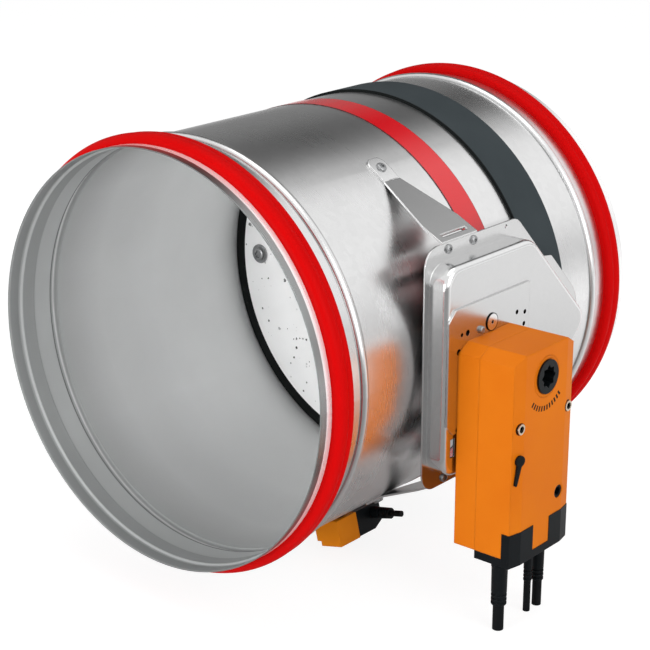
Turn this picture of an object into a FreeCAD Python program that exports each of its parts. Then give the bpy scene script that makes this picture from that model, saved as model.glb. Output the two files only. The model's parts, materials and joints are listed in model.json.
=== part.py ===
"""Round fire damper for a 400 mm duct, in millimetres.

The duct runs along +Y and its near end lies at Y = 0.
+Z is up, and the actuator sits on the +X side.
Each function makes one piece or one set of like fasteners.
"""
import FreeCAD, Part
import math
import os
from FreeCAD import Vector

# Casing tube
spigot_r = 199.5
casing_sheet = 1.0
casing_length = 484.0
bead_height = 3.5
bead_width = 9.0
bead_from_end = 58.5
lip_width = 14.5
groove_depth = 1.6
groove_width = 18.0

# Lip gaskets on both spigots
gasket_width = 23.3
gasket_height = 8.9
gasket_base = 1.8
gasket_valley_share = 0.62
gasket_peak_share = 0.6

# Bands round the casing
label_start = 238.5
label_width = 32.0
label_thick = 0.3
label_gap = 0.2
seal_band_width = 54.0
seal_band_thick = 2.8

# Blade and its pivots
blade_axis_y = 342.0
blade_thick = 34.0
blade_gap = 1.5
rim_seal_width = 12.0
rim_seal_skin = 1.5
rim_seal_depth = 5.0
blade_bolt_inset = 35.0
blade_washer_r = 10.5
blade_washer_thick = 1.6
blade_bolt_r = 4.0
blade_bolt_head_r = 7.0
blade_bolt_head_height = 3.0
stop_height = 9.0
stop_foot = 14.0
stop_sheet = 1.5
upper_stop_arc_deg = 76.0
lower_stop_arc_deg = 36.0
seat_gap = 0.3

# Shafts and bushes
shaft_r = 8.0
idle_r = 6.0
tongue_thick = 8.0
tongue_width = 28.0
tongue_length = 52.0
running_gap = 0.05
bush_wall = 3.0
bush_flange_r = 15.0
bush_flange_thick = 3.0
bush_outside = 5.5
bush_inside = 0.6
idle_cap_thick = 2.0
band_hole_gap = 0.6

# Pressed console that carries the actuator and covers the linkage
rim_clearance = 6.5
console_sheet = 1.5
console_rise = 20.0
drive_axis_y = 203.0
console_near_reach = 63.0
console_half_height = 100.0
console_nose_reach = 32.0
console_corner_r = 20.0
console_shoulder_r = 30.0
console_nose_r = 17.0
console_edge_r = 5.0
rim_near = 6.0
rim_side = 16.0
rim_slope = 17.0
rim_nose = 28.0
rim_step_from_blade = 19.0
rim_step_run = 13.0
rim_step_r = 4.0
rim_step_root_r = 6.0
rim_corner_r = 18.0
rim_nose_r = 40.0
rim_hole_r = 1.8
rim_hole_from_drive = 54.0
rim_hole_inset = 4.5

# Struts between casing and console
strut_sheet = 2.0
strut_centre_y = 186.5
strut_foot_width = 22.0
strut_head_width = 53.0
strut_foot_deg = 59.0
strut_bend_deg = 51.0
strut_screw_deg = 55.4
strut_foot_r = 9.0
strut_flare_run = 22.0
strut_tab = 20.0
strut_slot_length = 37.0
strut_slot_width = 3.5
strut_slot_from_bend = 5.0
strut_slit_width = 1.2
strut_slit_short = 8.0

# Small screws
screw_r = 2.1
screw_head_r = 4.4
screw_head_height = 2.6
foot_screw_head_r = 5.2
screw_reach = 3.0
screw_round_share = 0.6
rim_screw_pitch = 38.0
rim_screw_inset = 6.0

# Actuator plate on the console's face
plate_sheet = 2.0
plate_near_reach = 62.0
plate_far_reach = 64.0
plate_top = 61.0
plate_bottom = 57.0
plate_corner = 10.0
plate_plug_r = 8.5
plate_plug_height = 1.0
plate_plug_dimple_r = 1.6
plate_plug_y = 3.5
plate_plug_z = 36.7
plate_pin_y = -13.3
plate_pin_z = 33.5
plate_pin_r = 3.4
plate_pin_height = 3.0
plate_pin_round_share = 0.4
console_slot_y = -50.5
console_slot_width = 6.0
console_slot_length = 18.0
console_slot_gap = 5.0

# Linkage between the actuator and the blade
crank_length = 17.0
crank_rest_deg = 75.0
crank_thick = 4.0
crank_eye_r = 5.5
crank_hub_height = 10.0
blade_hub_r = 11.0
drive_hub_r = 14.5
rod_width = 9.0
rod_thick = 3.0
rod_from_rim = 1.0
rod_side_gap = 0.5
crank_pin_r = 2.5
open_pivot_gap = 0.3
clip_r = 4.6
clip_thick = 0.8
shaft_tail = 1.0

# Spring-return actuator
actuator_depth = 63.6
actuator_half_width = 47.0
actuator_top = 28.0
actuator_bottom = 166.0
top_corner_rise = 8.0
bevel_width = 14.0
bevel_drop = 3.0
seam_from_back = 23.0
housing_wall = 2.5
boss_wall = 3.0
boss_length = 8.0

# Output bush and spindle
output_r = 16.0
output_proud = 2.0
star_square = 15.6
spindle_square = 15.5
spindle_from_front = 14.0
spindle_hole_r = 13.0

# Parts on the actuator's front
eyelet_y = 38.0
eyelet_z = -39.5
eyelet_r = 4.0
eyelet_bore_r = 3.2
eyelet_lip_r = 5.0
eyelet_lip_height = 0.6
winder_y = 27.0
winder_z = -121.0
winder_r = 6.3
winder_recess = 0.8
winder_hex_flat = 8.0
winder_hex_depth = 14.0
winder_length = 20.0
lever_y = -38.5
lever_z = -69.5
lever_head_r = 5.2
lever_length = 22.5
lever_tip_r = 1.2
lever_neck_half = 2.7
lever_thick = 2.4
lever_lift = 0.3
lever_pin_r = 2.5
lever_pin_length = 6.0
lever_lean_deg = 12.0

# End cap and leads
cap_height = 8.0
cap_wrap_height = 25.0
cap_wrap_side = 8.0
cap_wrap_thick = 1.9
cap_wrap_sunk = 1.5
tongue_half_width = 13.0
lead_x_from_front = 20.6
lead_length = 71.0
mains_y = -34.0
mains_boot_r = 8.0
mains_boot_length = 45.5
mains_lead_r = 5.3
sensor_y = 13.0
sensor_boot_r = 4.4
sensor_boot_length = 40.0
sensor_lead_r = 3.4
switch_y = 30.0
switch_boot_r = 6.2
switch_boot_length = 45.0
switch_lead_r = 4.5
lead_rows = (
    ("mains", mains_y, mains_boot_r, mains_boot_length, mains_lead_r),
    ("sensor", sensor_y, sensor_boot_r, sensor_boot_length, sensor_lead_r),
    ("switch", switch_y, switch_boot_r, switch_boot_length, switch_lead_r),
)
boot_taper = 0.9
boot_groove_pitch = 4.0
boot_groove_depth = 0.8
boot_groove_width = 1.4
boot_groove_count = 3

# Thermal release under the casing
release_deg = -76.0
release_y = 196.0
release_length = 30.0
release_width = 31.0
release_stand = 12.5
release_depth = 27.0
release_step = 5.0
connector_length = 37.0
connector_depth = 26.0
connector_chamfer = 6.0
pedestal_r = 11.0
pedestal_flange_r = 15.0
pedestal_flange_thick = 2.0
probe_r = 4.5
probe_length = 56.0
button_r = 4.0
button_proud = 3.0
button_travel = 2.0
button_length = 9.0
release_boot_r = 6.2
release_boot_length = 24.0
release_lead_r = 3.1
release_lead_length = 14.0
release_lead_y = 14.0
release_lead_from_top = 9.0

casing_bore_r = spigot_r - casing_sheet
blade_r = casing_bore_r - blade_gap
blade_bolt_from_axis = blade_r - blade_bolt_inset
rim_x = spigot_r + rim_clearance
rod_x = rim_x + rod_from_rim
release_top_r = spigot_r + release_stand
blade_near_y = blade_axis_y - blade_thick / 2
blade_far_y = blade_axis_y + blade_thick / 2
face_x = rim_x + console_rise
plate_x = face_x + plate_sheet
front_x = plate_x + actuator_depth
seam_x = plate_x + seam_from_back
crank_x = rod_x + rod_thick + rod_side_gap
nose_y = blade_axis_y + console_nose_reach
console_near_y = drive_axis_y - console_near_reach
lead_x = front_x - lead_x_from_front
along_x = Vector(1, 0, 0)
along_y = Vector(0, 1, 0)
along_z = Vector(0, 0, 1)
origin = Vector(0, 0, 0)


def rod_along_x(radius, x_from, x_to, y=0.0, z=0.0):
    """A cylinder along X between two X values."""
    return Part.makeCylinder(radius, x_to - x_from, Vector(x_from, y, z), along_x)


def ring(r_in, r_out, y_from, y_to):
    """A plain ring about the duct's axis."""
    outer = Part.makeCylinder(r_out, y_to - y_from, Vector(0, y_from, 0), along_y)
    inner = Part.makeCylinder(r_in, y_to - y_from, Vector(0, y_from, 0), along_y)
    return outer.cut(inner)


def loop_at(x, corners):
    """A closed wire at one X. Each corner is (y, z, radius), and a radius of 0 is sharp."""
    edges = []
    previous_end = None
    first_start = None
    count = len(corners)
    for i, (y, z, radius) in enumerate(corners):
        here = Vector(x, y, z)
        before = Vector(x, corners[i - 1][0], corners[i - 1][1])
        after = Vector(x, corners[(i + 1) % count][0], corners[(i + 1) % count][1])
        to_before = (before - here).normalize()
        to_after = (after - here).normalize()
        half = to_before.getAngle(to_after) / 2
        back = radius / math.tan(half)
        start = here + to_before * back
        end = here + to_after * back
        if previous_end is not None:
            edges.append(Part.LineSegment(previous_end, start).toShape())
        if radius > 0:
            inward = (to_before + to_after).normalize()
            centre = here + inward * (radius / math.sin(half))
            middle = centre - inward * radius
            edges.append(Part.Arc(start, middle, end).toShape())
        if first_start is None:
            first_start = start
        previous_end = end
    edges.append(Part.LineSegment(previous_end, first_start).toShape())
    return Part.Wire(edges)


def plate_at(x, thick, corners):
    """A flat plate from one X to x + thick, with the corners of loop_at."""
    return Part.Face(loop_at(x, corners)).extrude(Vector(thick, 0, 0))


def prism_z(points, z_from, z_to):
    """A prism along Z from (x, y) points."""
    corners = [Vector(x, y, z_from) for x, y in points]
    face = Part.Face(Part.makePolygon(corners + corners[:1]))
    return face.extrude(Vector(0, 0, z_to - z_from))


def mirrored_y(shape, y):
    """The shape's mirror image in the plane at one Y."""
    return shape.mirror(Vector(0, y, 0), along_y)


def mirrored_z(shape):
    """The shape's mirror image in the plane Z = 0."""
    return shape.mirror(origin, along_z)


def on_casing(shape, deg):
    """Turns a shape that points along +Z so that it points outwards at an angle round the casing."""
    turned = shape.copy()
    turned.rotate(origin, along_y, 90 - deg)
    return turned


def polar(radius, deg, y=0.0):
    """A point at a radius and an angle from +X towards +Z."""
    angle = math.radians(deg)
    return Vector(radius * math.cos(angle), y, radius * math.sin(angle))


def save(name, shape):
    """Writes one piece, or one set of like pieces."""
    shape.exportStep("parts/" + name + ".step")


def wall_path(offset):
    """Half of the casing's wall line, from the near lip to mid length, moved in by an offset."""
    land_r = spigot_r - offset
    groove_r = land_r - groove_depth
    groove_y = lip_width
    ramp = groove_depth
    bead_near = bead_from_end - bead_width / 2
    bead_far = bead_from_end + bead_width / 2
    line = [
        Vector(land_r, 0, 0),
        Vector(land_r, groove_y, 0),
        Vector(groove_r, groove_y + ramp, 0),
        Vector(groove_r, groove_y + groove_width - ramp, 0),
        Vector(land_r, groove_y + groove_width, 0),
        Vector(land_r, bead_near, 0),
    ]
    edges = [Part.LineSegment(a, b).toShape() for a, b in zip(line, line[1:])]
    crest = Vector(land_r + bead_height, bead_from_end, 0)
    bead_end = Vector(land_r, bead_far, 0)
    edges.append(Part.Arc(line[-1], crest, bead_end).toShape())
    edges.append(Part.LineSegment(bead_end, Vector(land_r, casing_length / 2, 0)).toShape())
    return edges


def casing_tube():
    """The rolled tube: a gasket groove and a stop bead at each end, and every hole through its wall."""
    outside = wall_path(0)
    inside = wall_path(casing_sheet)
    near_edge = Part.LineSegment(Vector(spigot_r, 0, 0), Vector(casing_bore_r, 0, 0)).toShape()
    half = casing_length / 2
    mid_edge = Part.LineSegment(Vector(spigot_r, half, 0), Vector(casing_bore_r, half, 0)).toShape()
    section = Part.Wire(Part.__sortEdges__(outside + [mid_edge] + inside + [near_edge]))
    near_half = Part.Face(section).revolve(origin, along_y, 360)
    tube = near_half.fuse(mirrored_y(near_half, half)).removeSplitter()
    tube = tube.cut(rod_along_x(shaft_r + bush_wall, 0, rim_x, blade_axis_y))
    tube = tube.cut(rod_along_x(idle_r + bush_wall, -rim_x, 0, blade_axis_y))
    for side in (1, -1):
        tube = tube.cut(foot_screw_shank(side))
    hole_start = Vector(0, release_y, spigot_r - probe_length)
    probe_hole = Part.makeCylinder(pedestal_r, 2 * probe_length, hole_start)
    return tube.cut(on_casing(probe_hole, release_deg))


def lip_gasket():
    """The near gasket: a base in the groove and two rounded lips that lean away from the duct end."""
    base_r = spigot_r - groove_depth
    skin_r = spigot_r + gasket_base
    start = lip_width
    end = lip_width + gasket_width
    groove_end = start + groove_width
    lip_r = spigot_r + gasket_height
    middle = start + gasket_width * gasket_valley_share
    peak = start + (middle - start) * gasket_peak_share
    points = [
        Vector(spigot_r, start, 0),
        Vector(base_r, start + groove_depth, 0),
        Vector(base_r, groove_end - groove_depth, 0),
        Vector(spigot_r, groove_end, 0),
        Vector(spigot_r, end, 0),
        Vector(skin_r, end, 0),
    ]
    edges = [Part.LineSegment(a, b).toShape() for a, b in zip(points, points[1:])]
    valley = Vector(lip_r - gasket_base, middle, 0)
    far_top = Vector(lip_r - gasket_base / 2, (middle + end) / 2, 0)
    near_top = Vector(lip_r, peak, 0)
    edges.append(Part.Arc(points[-1], far_top, valley).toShape())
    edges.append(Part.Arc(valley, near_top, points[0]).toShape())
    return Part.Face(Part.Wire(edges)).revolve(origin, along_y, 360)


def label_band():
    """The thin film band round the casing."""
    inner_r = spigot_r + label_gap
    return ring(inner_r, inner_r + label_thick, label_start, label_start + label_width)


def outer_seal_band():
    """The dark intumescent band over the blade, with holes for the pivot bushes."""
    half = seal_band_width / 2
    band = ring(spigot_r, spigot_r + seal_band_thick, blade_axis_y - half, blade_axis_y + half)
    hole_r = bush_flange_r + band_hole_gap
    reach = spigot_r + seal_band_thick
    return band.cut(rod_along_x(hole_r, -reach, reach, blade_axis_y))


def blade_stop(side):
    """A bent strip inside the casing that the blade's rim closes on: far side at the top, near side below."""
    out = casing_bore_r
    if side > 0:
        arc_deg = upper_stop_arc_deg
        lip_y = blade_far_y + seat_gap
        foot_y = lip_y + stop_foot
        start_deg = 90 - arc_deg / 2
    else:
        arc_deg = lower_stop_arc_deg
        lip_y = blade_near_y - seat_gap
        foot_y = lip_y - stop_foot
        start_deg = -90 - arc_deg / 2
    web_y = lip_y + side * stop_sheet
    points = [
        Vector(out, foot_y, 0),
        Vector(out, lip_y, 0),
        Vector(out - stop_height, lip_y, 0),
        Vector(out - stop_height, web_y, 0),
        Vector(out - stop_sheet, web_y, 0),
        Vector(out - stop_sheet, foot_y, 0),
    ]
    face = Part.Face(Part.makePolygon(points + points[:1]))
    face.rotate(origin, along_y, -start_deg)
    return face.revolve(origin, along_y, -arc_deg)


def shaft_bush():
    """The flanged bush of the driven shaft, seated on the casing's round wall."""
    inner_x = casing_bore_r - bush_inside
    body = rod_along_x(shaft_r + bush_wall, inner_x, spigot_r + bush_outside, blade_axis_y)
    flange_x = spigot_r + bush_flange_thick
    flange = rod_along_x(bush_flange_r, casing_bore_r, flange_x, blade_axis_y)
    flange = flange.cut(Part.makeCylinder(spigot_r, casing_length, origin, along_y))
    bore = rod_along_x(shaft_r + running_gap, 0, rim_x + console_rise, blade_axis_y)
    return body.fuse(flange).removeSplitter().cut(bore)


def idle_bush():
    """The blind flanged bush of the idle pivot, on the side away from the actuator."""
    tail = spigot_r + bush_outside
    body = rod_along_x(idle_r + bush_wall, -tail, bush_inside - casing_bore_r, blade_axis_y)
    flange = rod_along_x(bush_flange_r, -spigot_r - bush_flange_thick, -casing_bore_r, blade_axis_y)
    flange = flange.cut(Part.makeCylinder(spigot_r, casing_length, origin, along_y))
    bore = rod_along_x(idle_r + running_gap, -tail + idle_cap_thick, 0, blade_axis_y)
    return body.fuse(flange).removeSplitter().cut(bore)


def tongue(x_from, x_to, gap=0.0):
    """The flat part of a pivot that lies in the blade's edge."""
    thick = tongue_thick + 2 * gap
    width = tongue_width + 2 * gap
    corner = Vector(x_from, blade_axis_y - thick / 2, -width / 2)
    return Part.makeBox(x_to - x_from, thick, width, corner)


def blade_bolt_holes():
    """The two through holes of the blade's clamp bolts."""
    holes = [
        Part.makeCylinder(blade_bolt_r, blade_thick, Vector(x, blade_near_y, 0), along_y)
        for x in (-blade_bolt_from_axis, blade_bolt_from_axis)
    ]
    return Part.makeCompound(holes)


def blade_board():
    """The round board with a rebated rim, and the pockets that hold the pivots' tongues."""
    rebate_r = blade_r - rim_seal_width
    edge_r = blade_r - rim_seal_depth
    core = Part.makeCylinder(rebate_r, blade_thick, Vector(0, blade_near_y, 0), along_y)
    rim_y = blade_near_y + rim_seal_skin
    rim = Part.makeCylinder(edge_r, blade_thick - 2 * rim_seal_skin, Vector(0, rim_y, 0), along_y)
    board = core.fuse(rim)
    for side in (1, -1):
        inner = side * (blade_r - tongue_length)
        board = board.cut(tongue(min(inner, side * blade_r), max(inner, side * blade_r)))
    return board.cut(blade_bolt_holes())


def blade_rim_seal():
    """The channel-shaped seal round the blade's rim, cut through where the pivots enter."""
    rebate_r = blade_r - rim_seal_width
    edge_r = blade_r - rim_seal_depth
    outer = ring(rebate_r, blade_r, blade_near_y, blade_far_y)
    inner = ring(rebate_r, edge_r, blade_near_y + rim_seal_skin, blade_far_y - rim_seal_skin)
    return outer.cut(inner).cut(tongue(-blade_r, blade_r))


def pivot(radius, tip_x, side):
    """A stub shaft with a flat tongue that the blade bolts clamp."""
    root = blade_r - tongue_length
    if side > 0:
        flat = tongue(root, blade_r)
        stub = rod_along_x(radius, blade_r, tip_x, blade_axis_y)
    else:
        flat = tongue(-blade_r, -root)
        stub = rod_along_x(radius, -tip_x, -blade_r, blade_axis_y)
    return flat.fuse(stub).cut(blade_bolt_holes())


def blade_bolts():
    """Through bolts with round heads and broad washers on both faces of the blade."""
    bolts = []
    for x in (-blade_bolt_from_axis, blade_bolt_from_axis):
        shank = Part.makeCylinder(blade_bolt_r, blade_thick, Vector(x, blade_near_y, 0), along_y)
        washer_y = blade_near_y - blade_washer_thick
        near = Part.makeCylinder(blade_washer_r, blade_washer_thick, Vector(x, washer_y, 0), along_y)
        head_y = washer_y - blade_bolt_head_height
        head = Part.makeCylinder(blade_bolt_head_r, blade_bolt_head_height, Vector(x, head_y, 0), along_y)
        socket = Part.makeCylinder(blade_bolt_r, blade_bolt_head_height / 2, Vector(x, head_y, 0), along_y)
        near = near.fuse(head).cut(socket)
        far = mirrored_y(near, blade_axis_y)
        bolts.append(shank.fuse([near, far]).removeSplitter())
    return Part.makeCompound(bolts)


def console_corners(inset):
    """The pressed box's outline, moved in by an inset."""
    slope = inset * (math.sqrt(2) - 1)
    high = console_half_height - inset
    near = console_near_y + inset
    shoulder = nose_y - console_half_height - slope
    nose = nose_y - inset * math.sqrt(2)
    corner_r = console_corner_r - inset
    shoulder_r = console_shoulder_r - inset
    return [
        (near, -high, corner_r),
        (near, high, corner_r),
        (shoulder, high, shoulder_r),
        (nose, 0, console_nose_r - inset),
        (shoulder, -high, shoulder_r),
    ]


def rim_corners():
    """The outline of the console's flat rim, with a step where the nose grows wider."""
    near = console_near_y - rim_near
    high = console_half_height + rim_side
    slope_sum = nose_y + rim_slope
    nose_sum = nose_y + rim_nose
    step_y = blade_axis_y - rim_step_from_blade
    step_end = step_y + rim_step_run
    upper = [
        (near, high, rim_corner_r),
        (slope_sum - high, high, rim_corner_r),
        (step_y, slope_sum - step_y, rim_step_r),
        (step_end, nose_sum - step_end, rim_step_root_r),
    ]
    lower = [(y, -z, r) for y, z, r in reversed(upper)]
    return upper + [(nose_sum, 0, rim_nose_r)] + lower


def rim_screw_places():
    """Where the rim is screwed to the struts, as (y, z)."""
    z = console_half_height + rim_side - rim_screw_inset
    ys = (strut_centre_y - rim_screw_pitch / 2, strut_centre_y + rim_screw_pitch / 2)
    return [(y, side * z) for y in ys for side in (1, -1)]


def console():
    """One pressed sheet: a flat rim, and a raised box with rounded edges whose face carries the actuator."""
    rim_back = rim_x - console_sheet
    sheet = plate_at(rim_back, console_sheet, rim_corners())
    block = plate_at(rim_back, face_x - rim_back, console_corners(0))
    face_edges = [e for e in block.Edges if all(abs(v.Point.x - face_x) < 0.01 for v in e.Vertexes)]
    block = block.makeFillet(console_edge_r, face_edges)
    pressed = sheet.fuse(block).removeSplitter()
    hollow = plate_at(rim_back, face_x - console_sheet - rim_back, console_corners(console_sheet))
    under = face_x - console_sheet
    inner_edges = [e for e in hollow.Edges if all(abs(v.Point.x - under) < 0.01 for v in e.Vertexes)]
    hollow = hollow.makeFillet(console_edge_r - console_sheet, inner_edges)
    pressed = pressed.cut(hollow)
    pressed = pressed.cut(rod_along_x(spindle_hole_r, under, face_x, drive_axis_y))
    for y, z in rim_screw_places():
        pressed = pressed.cut(rod_along_x(screw_r, rim_back, rim_x, y, z))
    hole_z = console_half_height + rim_side - rim_hole_inset
    for side in (1, -1):
        hole_y = drive_axis_y + rim_hole_from_drive
        pressed = pressed.cut(rod_along_x(rim_hole_r, rim_back, rim_x, hole_y, side * hole_z))
    slot_y = drive_axis_y + console_slot_y - console_slot_width / 2
    slot_z = -plate_bottom - console_slot_gap - console_slot_length
    slot_at = Vector(under, slot_y, slot_z)
    pressed = pressed.cut(Part.makeBox(console_sheet, console_slot_width, console_slot_length, slot_at))
    for y, z, radius in plate_holes():
        pressed = pressed.cut(rod_along_x(radius, under, face_x, drive_axis_y + y, z))
    return pressed.cut(rod_along_x(plate_pin_r, under, face_x, drive_axis_y + plate_pin_y, plate_pin_z))


def strut(side):
    """A bent strut: a curved foot on the casing, a flared web, and a tab behind the console's rim."""
    rim_back = rim_x - console_sheet
    inner_r = spigot_r
    outer_r = spigot_r + strut_sheet
    bend_out = polar(outer_r, strut_bend_deg)
    top_z = console_half_height + rim_side + strut_sheet / 2
    knee_out = Vector(rim_back, 0, top_z)
    run = (knee_out - bend_out).normalize()
    across = Vector(-run.z, 0, run.x)
    inner_start = bend_out - across * strut_sheet
    slide = (rim_back - strut_sheet - inner_start.x) / run.x
    knee_in = inner_start + run * slide
    tab_z = top_z - strut_tab
    mid_deg = (strut_foot_deg + strut_bend_deg) / 2
    foot_out = polar(outer_r, strut_foot_deg)
    foot_in = polar(inner_r, strut_foot_deg)
    bend_in = polar(inner_r, strut_bend_deg)
    edges = [
        Part.Arc(foot_out, polar(outer_r, mid_deg), bend_out).toShape(),
        Part.LineSegment(bend_out, knee_out).toShape(),
        Part.LineSegment(knee_out, Vector(rim_back, 0, tab_z)).toShape(),
        Part.LineSegment(Vector(rim_back, 0, tab_z), Vector(rim_back - strut_sheet, 0, tab_z)).toShape(),
        Part.LineSegment(Vector(rim_back - strut_sheet, 0, tab_z), knee_in).toShape(),
        Part.LineSegment(knee_in, bend_in).toShape(),
        Part.Arc(bend_in, polar(inner_r, mid_deg), foot_in).toShape(),
        Part.LineSegment(foot_in, foot_out).toShape(),
    ]
    half_head = strut_head_width / 2
    half_foot = strut_foot_width / 2
    strip = Part.Face(Part.Wire(edges)).extrude(Vector(0, strut_head_width, 0))
    strip.translate(Vector(0, strut_centre_y - half_head, 0))
    flare_end = rim_back - strut_flare_run
    plan = [
        (foot_in.x, -half_foot),
        (bend_out.x, -half_foot),
        (flare_end, -half_head),
        (rim_back, -half_head),
        (rim_back, half_head),
        (flare_end, half_head),
        (bend_out.x, half_foot),
        (foot_in.x, half_foot),
    ]
    plan = [(x, strut_centre_y + y) for x, y in plan]
    outline = prism_z(plan, 0, spigot_r)
    foot_corners = [e for e in outline.Edges if all(abs(v.Point.x - foot_in.x) < 0.01 for v in e.Vertexes)]
    foot_corners = [e for e in foot_corners if e.Length > strut_foot_width]
    bent = strip.common(outline.makeFillet(strut_foot_r, foot_corners))
    slot_x = rim_back - strut_slot_from_bend - strut_slot_width
    slot_at = Vector(slot_x, strut_centre_y - strut_slot_length / 2, top_z - strut_sheet)
    bent = bent.cut(Part.makeBox(strut_slot_width, strut_slot_length, 4 * strut_sheet, slot_at))
    slit_y = strut_centre_y - half_foot + strut_slit_short
    slit_at = Vector(-strut_slit_width / 2, slit_y, inner_r - strut_sheet)
    slit = Part.makeBox(strut_slit_width, strut_foot_width, 4 * strut_sheet, slit_at)
    bent = bent.cut(on_casing(slit, strut_bend_deg))
    for y, z in rim_screw_places():
        bent = bent.cut(rod_along_x(screw_r, rim_back - strut_sheet, rim_back, y, abs(z)))
    bent = bent.cut(foot_screw_shank(1))
    return bent if side > 0 else mirrored_z(bent)


def foot_screw_shank(side):
    """The shank of one foot screw, also used to drill its holes."""
    start = casing_bore_r - screw_reach
    length = spigot_r + strut_sheet - start
    shank = Part.makeCylinder(screw_r, length, Vector(0, strut_centre_y, start))
    shank = on_casing(shank, strut_screw_deg)
    return shank if side > 0 else mirrored_z(shank)


def foot_screws():
    """One button-head screw through each strut's foot."""
    seat = spigot_r + strut_sheet
    head = Part.makeCylinder(foot_screw_head_r, screw_head_height, Vector(0, strut_centre_y, seat))
    head = head.makeFillet(screw_head_height * screw_round_share, [top_edge(head)])
    head = on_casing(head, strut_screw_deg)
    heads = [head, mirrored_z(head)]
    return Part.makeCompound([foot_screw_shank(1).fuse(heads[0]), foot_screw_shank(-1).fuse(heads[1])])


def top_edge(cylinder):
    """The circle at the high-Z end of an upright cylinder."""
    return max(cylinder.Edges, key=lambda e: e.CenterOfMass.z)


def rim_screws():
    """Button-head screws that hold the console's rim to the struts' tabs."""
    screws = []
    for y, z in rim_screw_places():
        head = Part.makeCylinder(screw_head_r, screw_head_height)
        head = head.makeFillet(screw_head_height * screw_round_share, [top_edge(head)])
        head.rotate(origin, along_y, 90)
        head.translate(Vector(rim_x, y, z))
        shank = rod_along_x(screw_r, rim_x - console_sheet - strut_sheet - screw_reach, rim_x, y, z)
        screws.append(head.fuse(shank))
    return Part.makeCompound(screws)


def plate_holes():
    """The spare holes through the plate and the console, as (y from the drive axis, z, radius)."""
    near_top = [(-42.4, 35.9, 1.6), (-33.6, 35.7, 2.6), (-46.6, 20.8, 2.6)]
    near_bottom = [(-44.0, -42.0, 1.2), (-46.5, -54.0, 2.0)]
    far_top = [(44.0, 35.6, 2.0), (57.0, 32.8, 2.0), (56.0, 21.4, 2.0)]
    return near_top + near_bottom + far_top


def actuator_plate():
    """The flat plate on the console's face that the actuator is bolted to."""
    near = drive_axis_y - plate_near_reach
    far = drive_axis_y + plate_far_reach
    corners = [
        (near, -plate_bottom + plate_corner, 0),
        (near, plate_top - plate_corner, 0),
        (near + plate_corner, plate_top, 0),
        (far, plate_top, 0),
        (far, -plate_bottom, 0),
        (near + plate_corner, -plate_bottom, 0),
    ]
    plate = plate_at(face_x, plate_sheet, corners)
    for y, z, radius in plate_holes():
        plate = plate.cut(rod_along_x(radius, face_x, plate_x, drive_axis_y + y, z))
    plate = plate.cut(rod_along_x(spindle_hole_r, face_x, plate_x, drive_axis_y))
    pin_y = drive_axis_y + plate_pin_y
    return plate.cut(rod_along_x(plate_pin_r, face_x, plate_x, pin_y, plate_pin_z))


def plate_plug():
    """The thin round plug beside the locating pin."""
    y = drive_axis_y + plate_plug_y
    top_x = plate_x + plate_plug_height
    plug = rod_along_x(plate_plug_r, plate_x, top_x, y, plate_plug_z)
    return plug.cut(rod_along_x(plate_plug_dimple_r, plate_x, top_x, y, plate_plug_z))


def locating_pin():
    """The round pin that stands on the plate above the actuator."""
    y = drive_axis_y + plate_pin_y
    under = face_x - console_sheet
    pin = Part.makeCylinder(plate_pin_r, plate_x + plate_pin_height - under)
    pin = pin.makeFillet(plate_pin_r * plate_pin_round_share, [top_edge(pin)])
    pin.rotate(origin, along_y, 90)
    pin.translate(Vector(under, y, plate_pin_z))
    return pin


def crank_pin_place(axis_y):
    """The crank pin's (y, z) at rest for a crank on a given axis."""
    angle = math.radians(crank_rest_deg)
    return axis_y + crank_length * math.cos(angle), crank_length * math.sin(angle)


def crank(axis_y, hub_r, bore):
    """A flat crank with a raised hub. The bore is a solid that is cut from it."""
    pin_y, pin_z = crank_pin_place(axis_y)
    eye = rod_along_x(crank_eye_r, crank_x, crank_x + crank_thick, pin_y, pin_z)
    hub = rod_along_x(hub_r, crank_x, crank_x + crank_hub_height, axis_y)
    arm = Part.makeBox(crank_thick, crank_length, 2 * crank_eye_r, Vector(crank_x, axis_y, -crank_eye_r))
    arm.rotate(Vector(0, axis_y, 0), along_x, crank_rest_deg)
    solid = hub.fuse([arm, eye]).removeSplitter()
    pin_hole = rod_along_x(crank_pin_r, crank_x, crank_x + crank_thick, pin_y, pin_z)
    return solid.cut(bore).cut(pin_hole)


def square_bar(side_length, x_from, x_to, turn_deg=0.0):
    """A square bar on the drive axis."""
    corner = Vector(x_from, drive_axis_y - side_length / 2, -side_length / 2)
    bar = Part.makeBox(x_to - x_from, side_length, side_length, corner)
    bar.rotate(Vector(0, drive_axis_y, 0), along_x, turn_deg)
    return bar


def drive_crank():
    """The crank on the actuator's spindle."""
    return crank(drive_axis_y, drive_hub_r, square_bar(spindle_square, crank_x + shaft_tail, plate_x))


def blade_crank():
    """The crank on the blade's shaft."""
    bore = rod_along_x(shaft_r, crank_x, crank_x + crank_hub_height, blade_axis_y)
    return crank(blade_axis_y, blade_hub_r, bore)


def crank_pin(axis_y):
    """A riveted pin with a clip that keeps the rod on."""
    y, z = crank_pin_place(axis_y)
    clip_x = rod_x - rod_side_gap - clip_thick
    pin = rod_along_x(crank_pin_r, clip_x - clip_thick, crank_x + crank_thick, y, z)
    clip = rod_along_x(clip_r, clip_x, clip_x + clip_thick, y, z)
    return pin.fuse(clip).removeSplitter()


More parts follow.
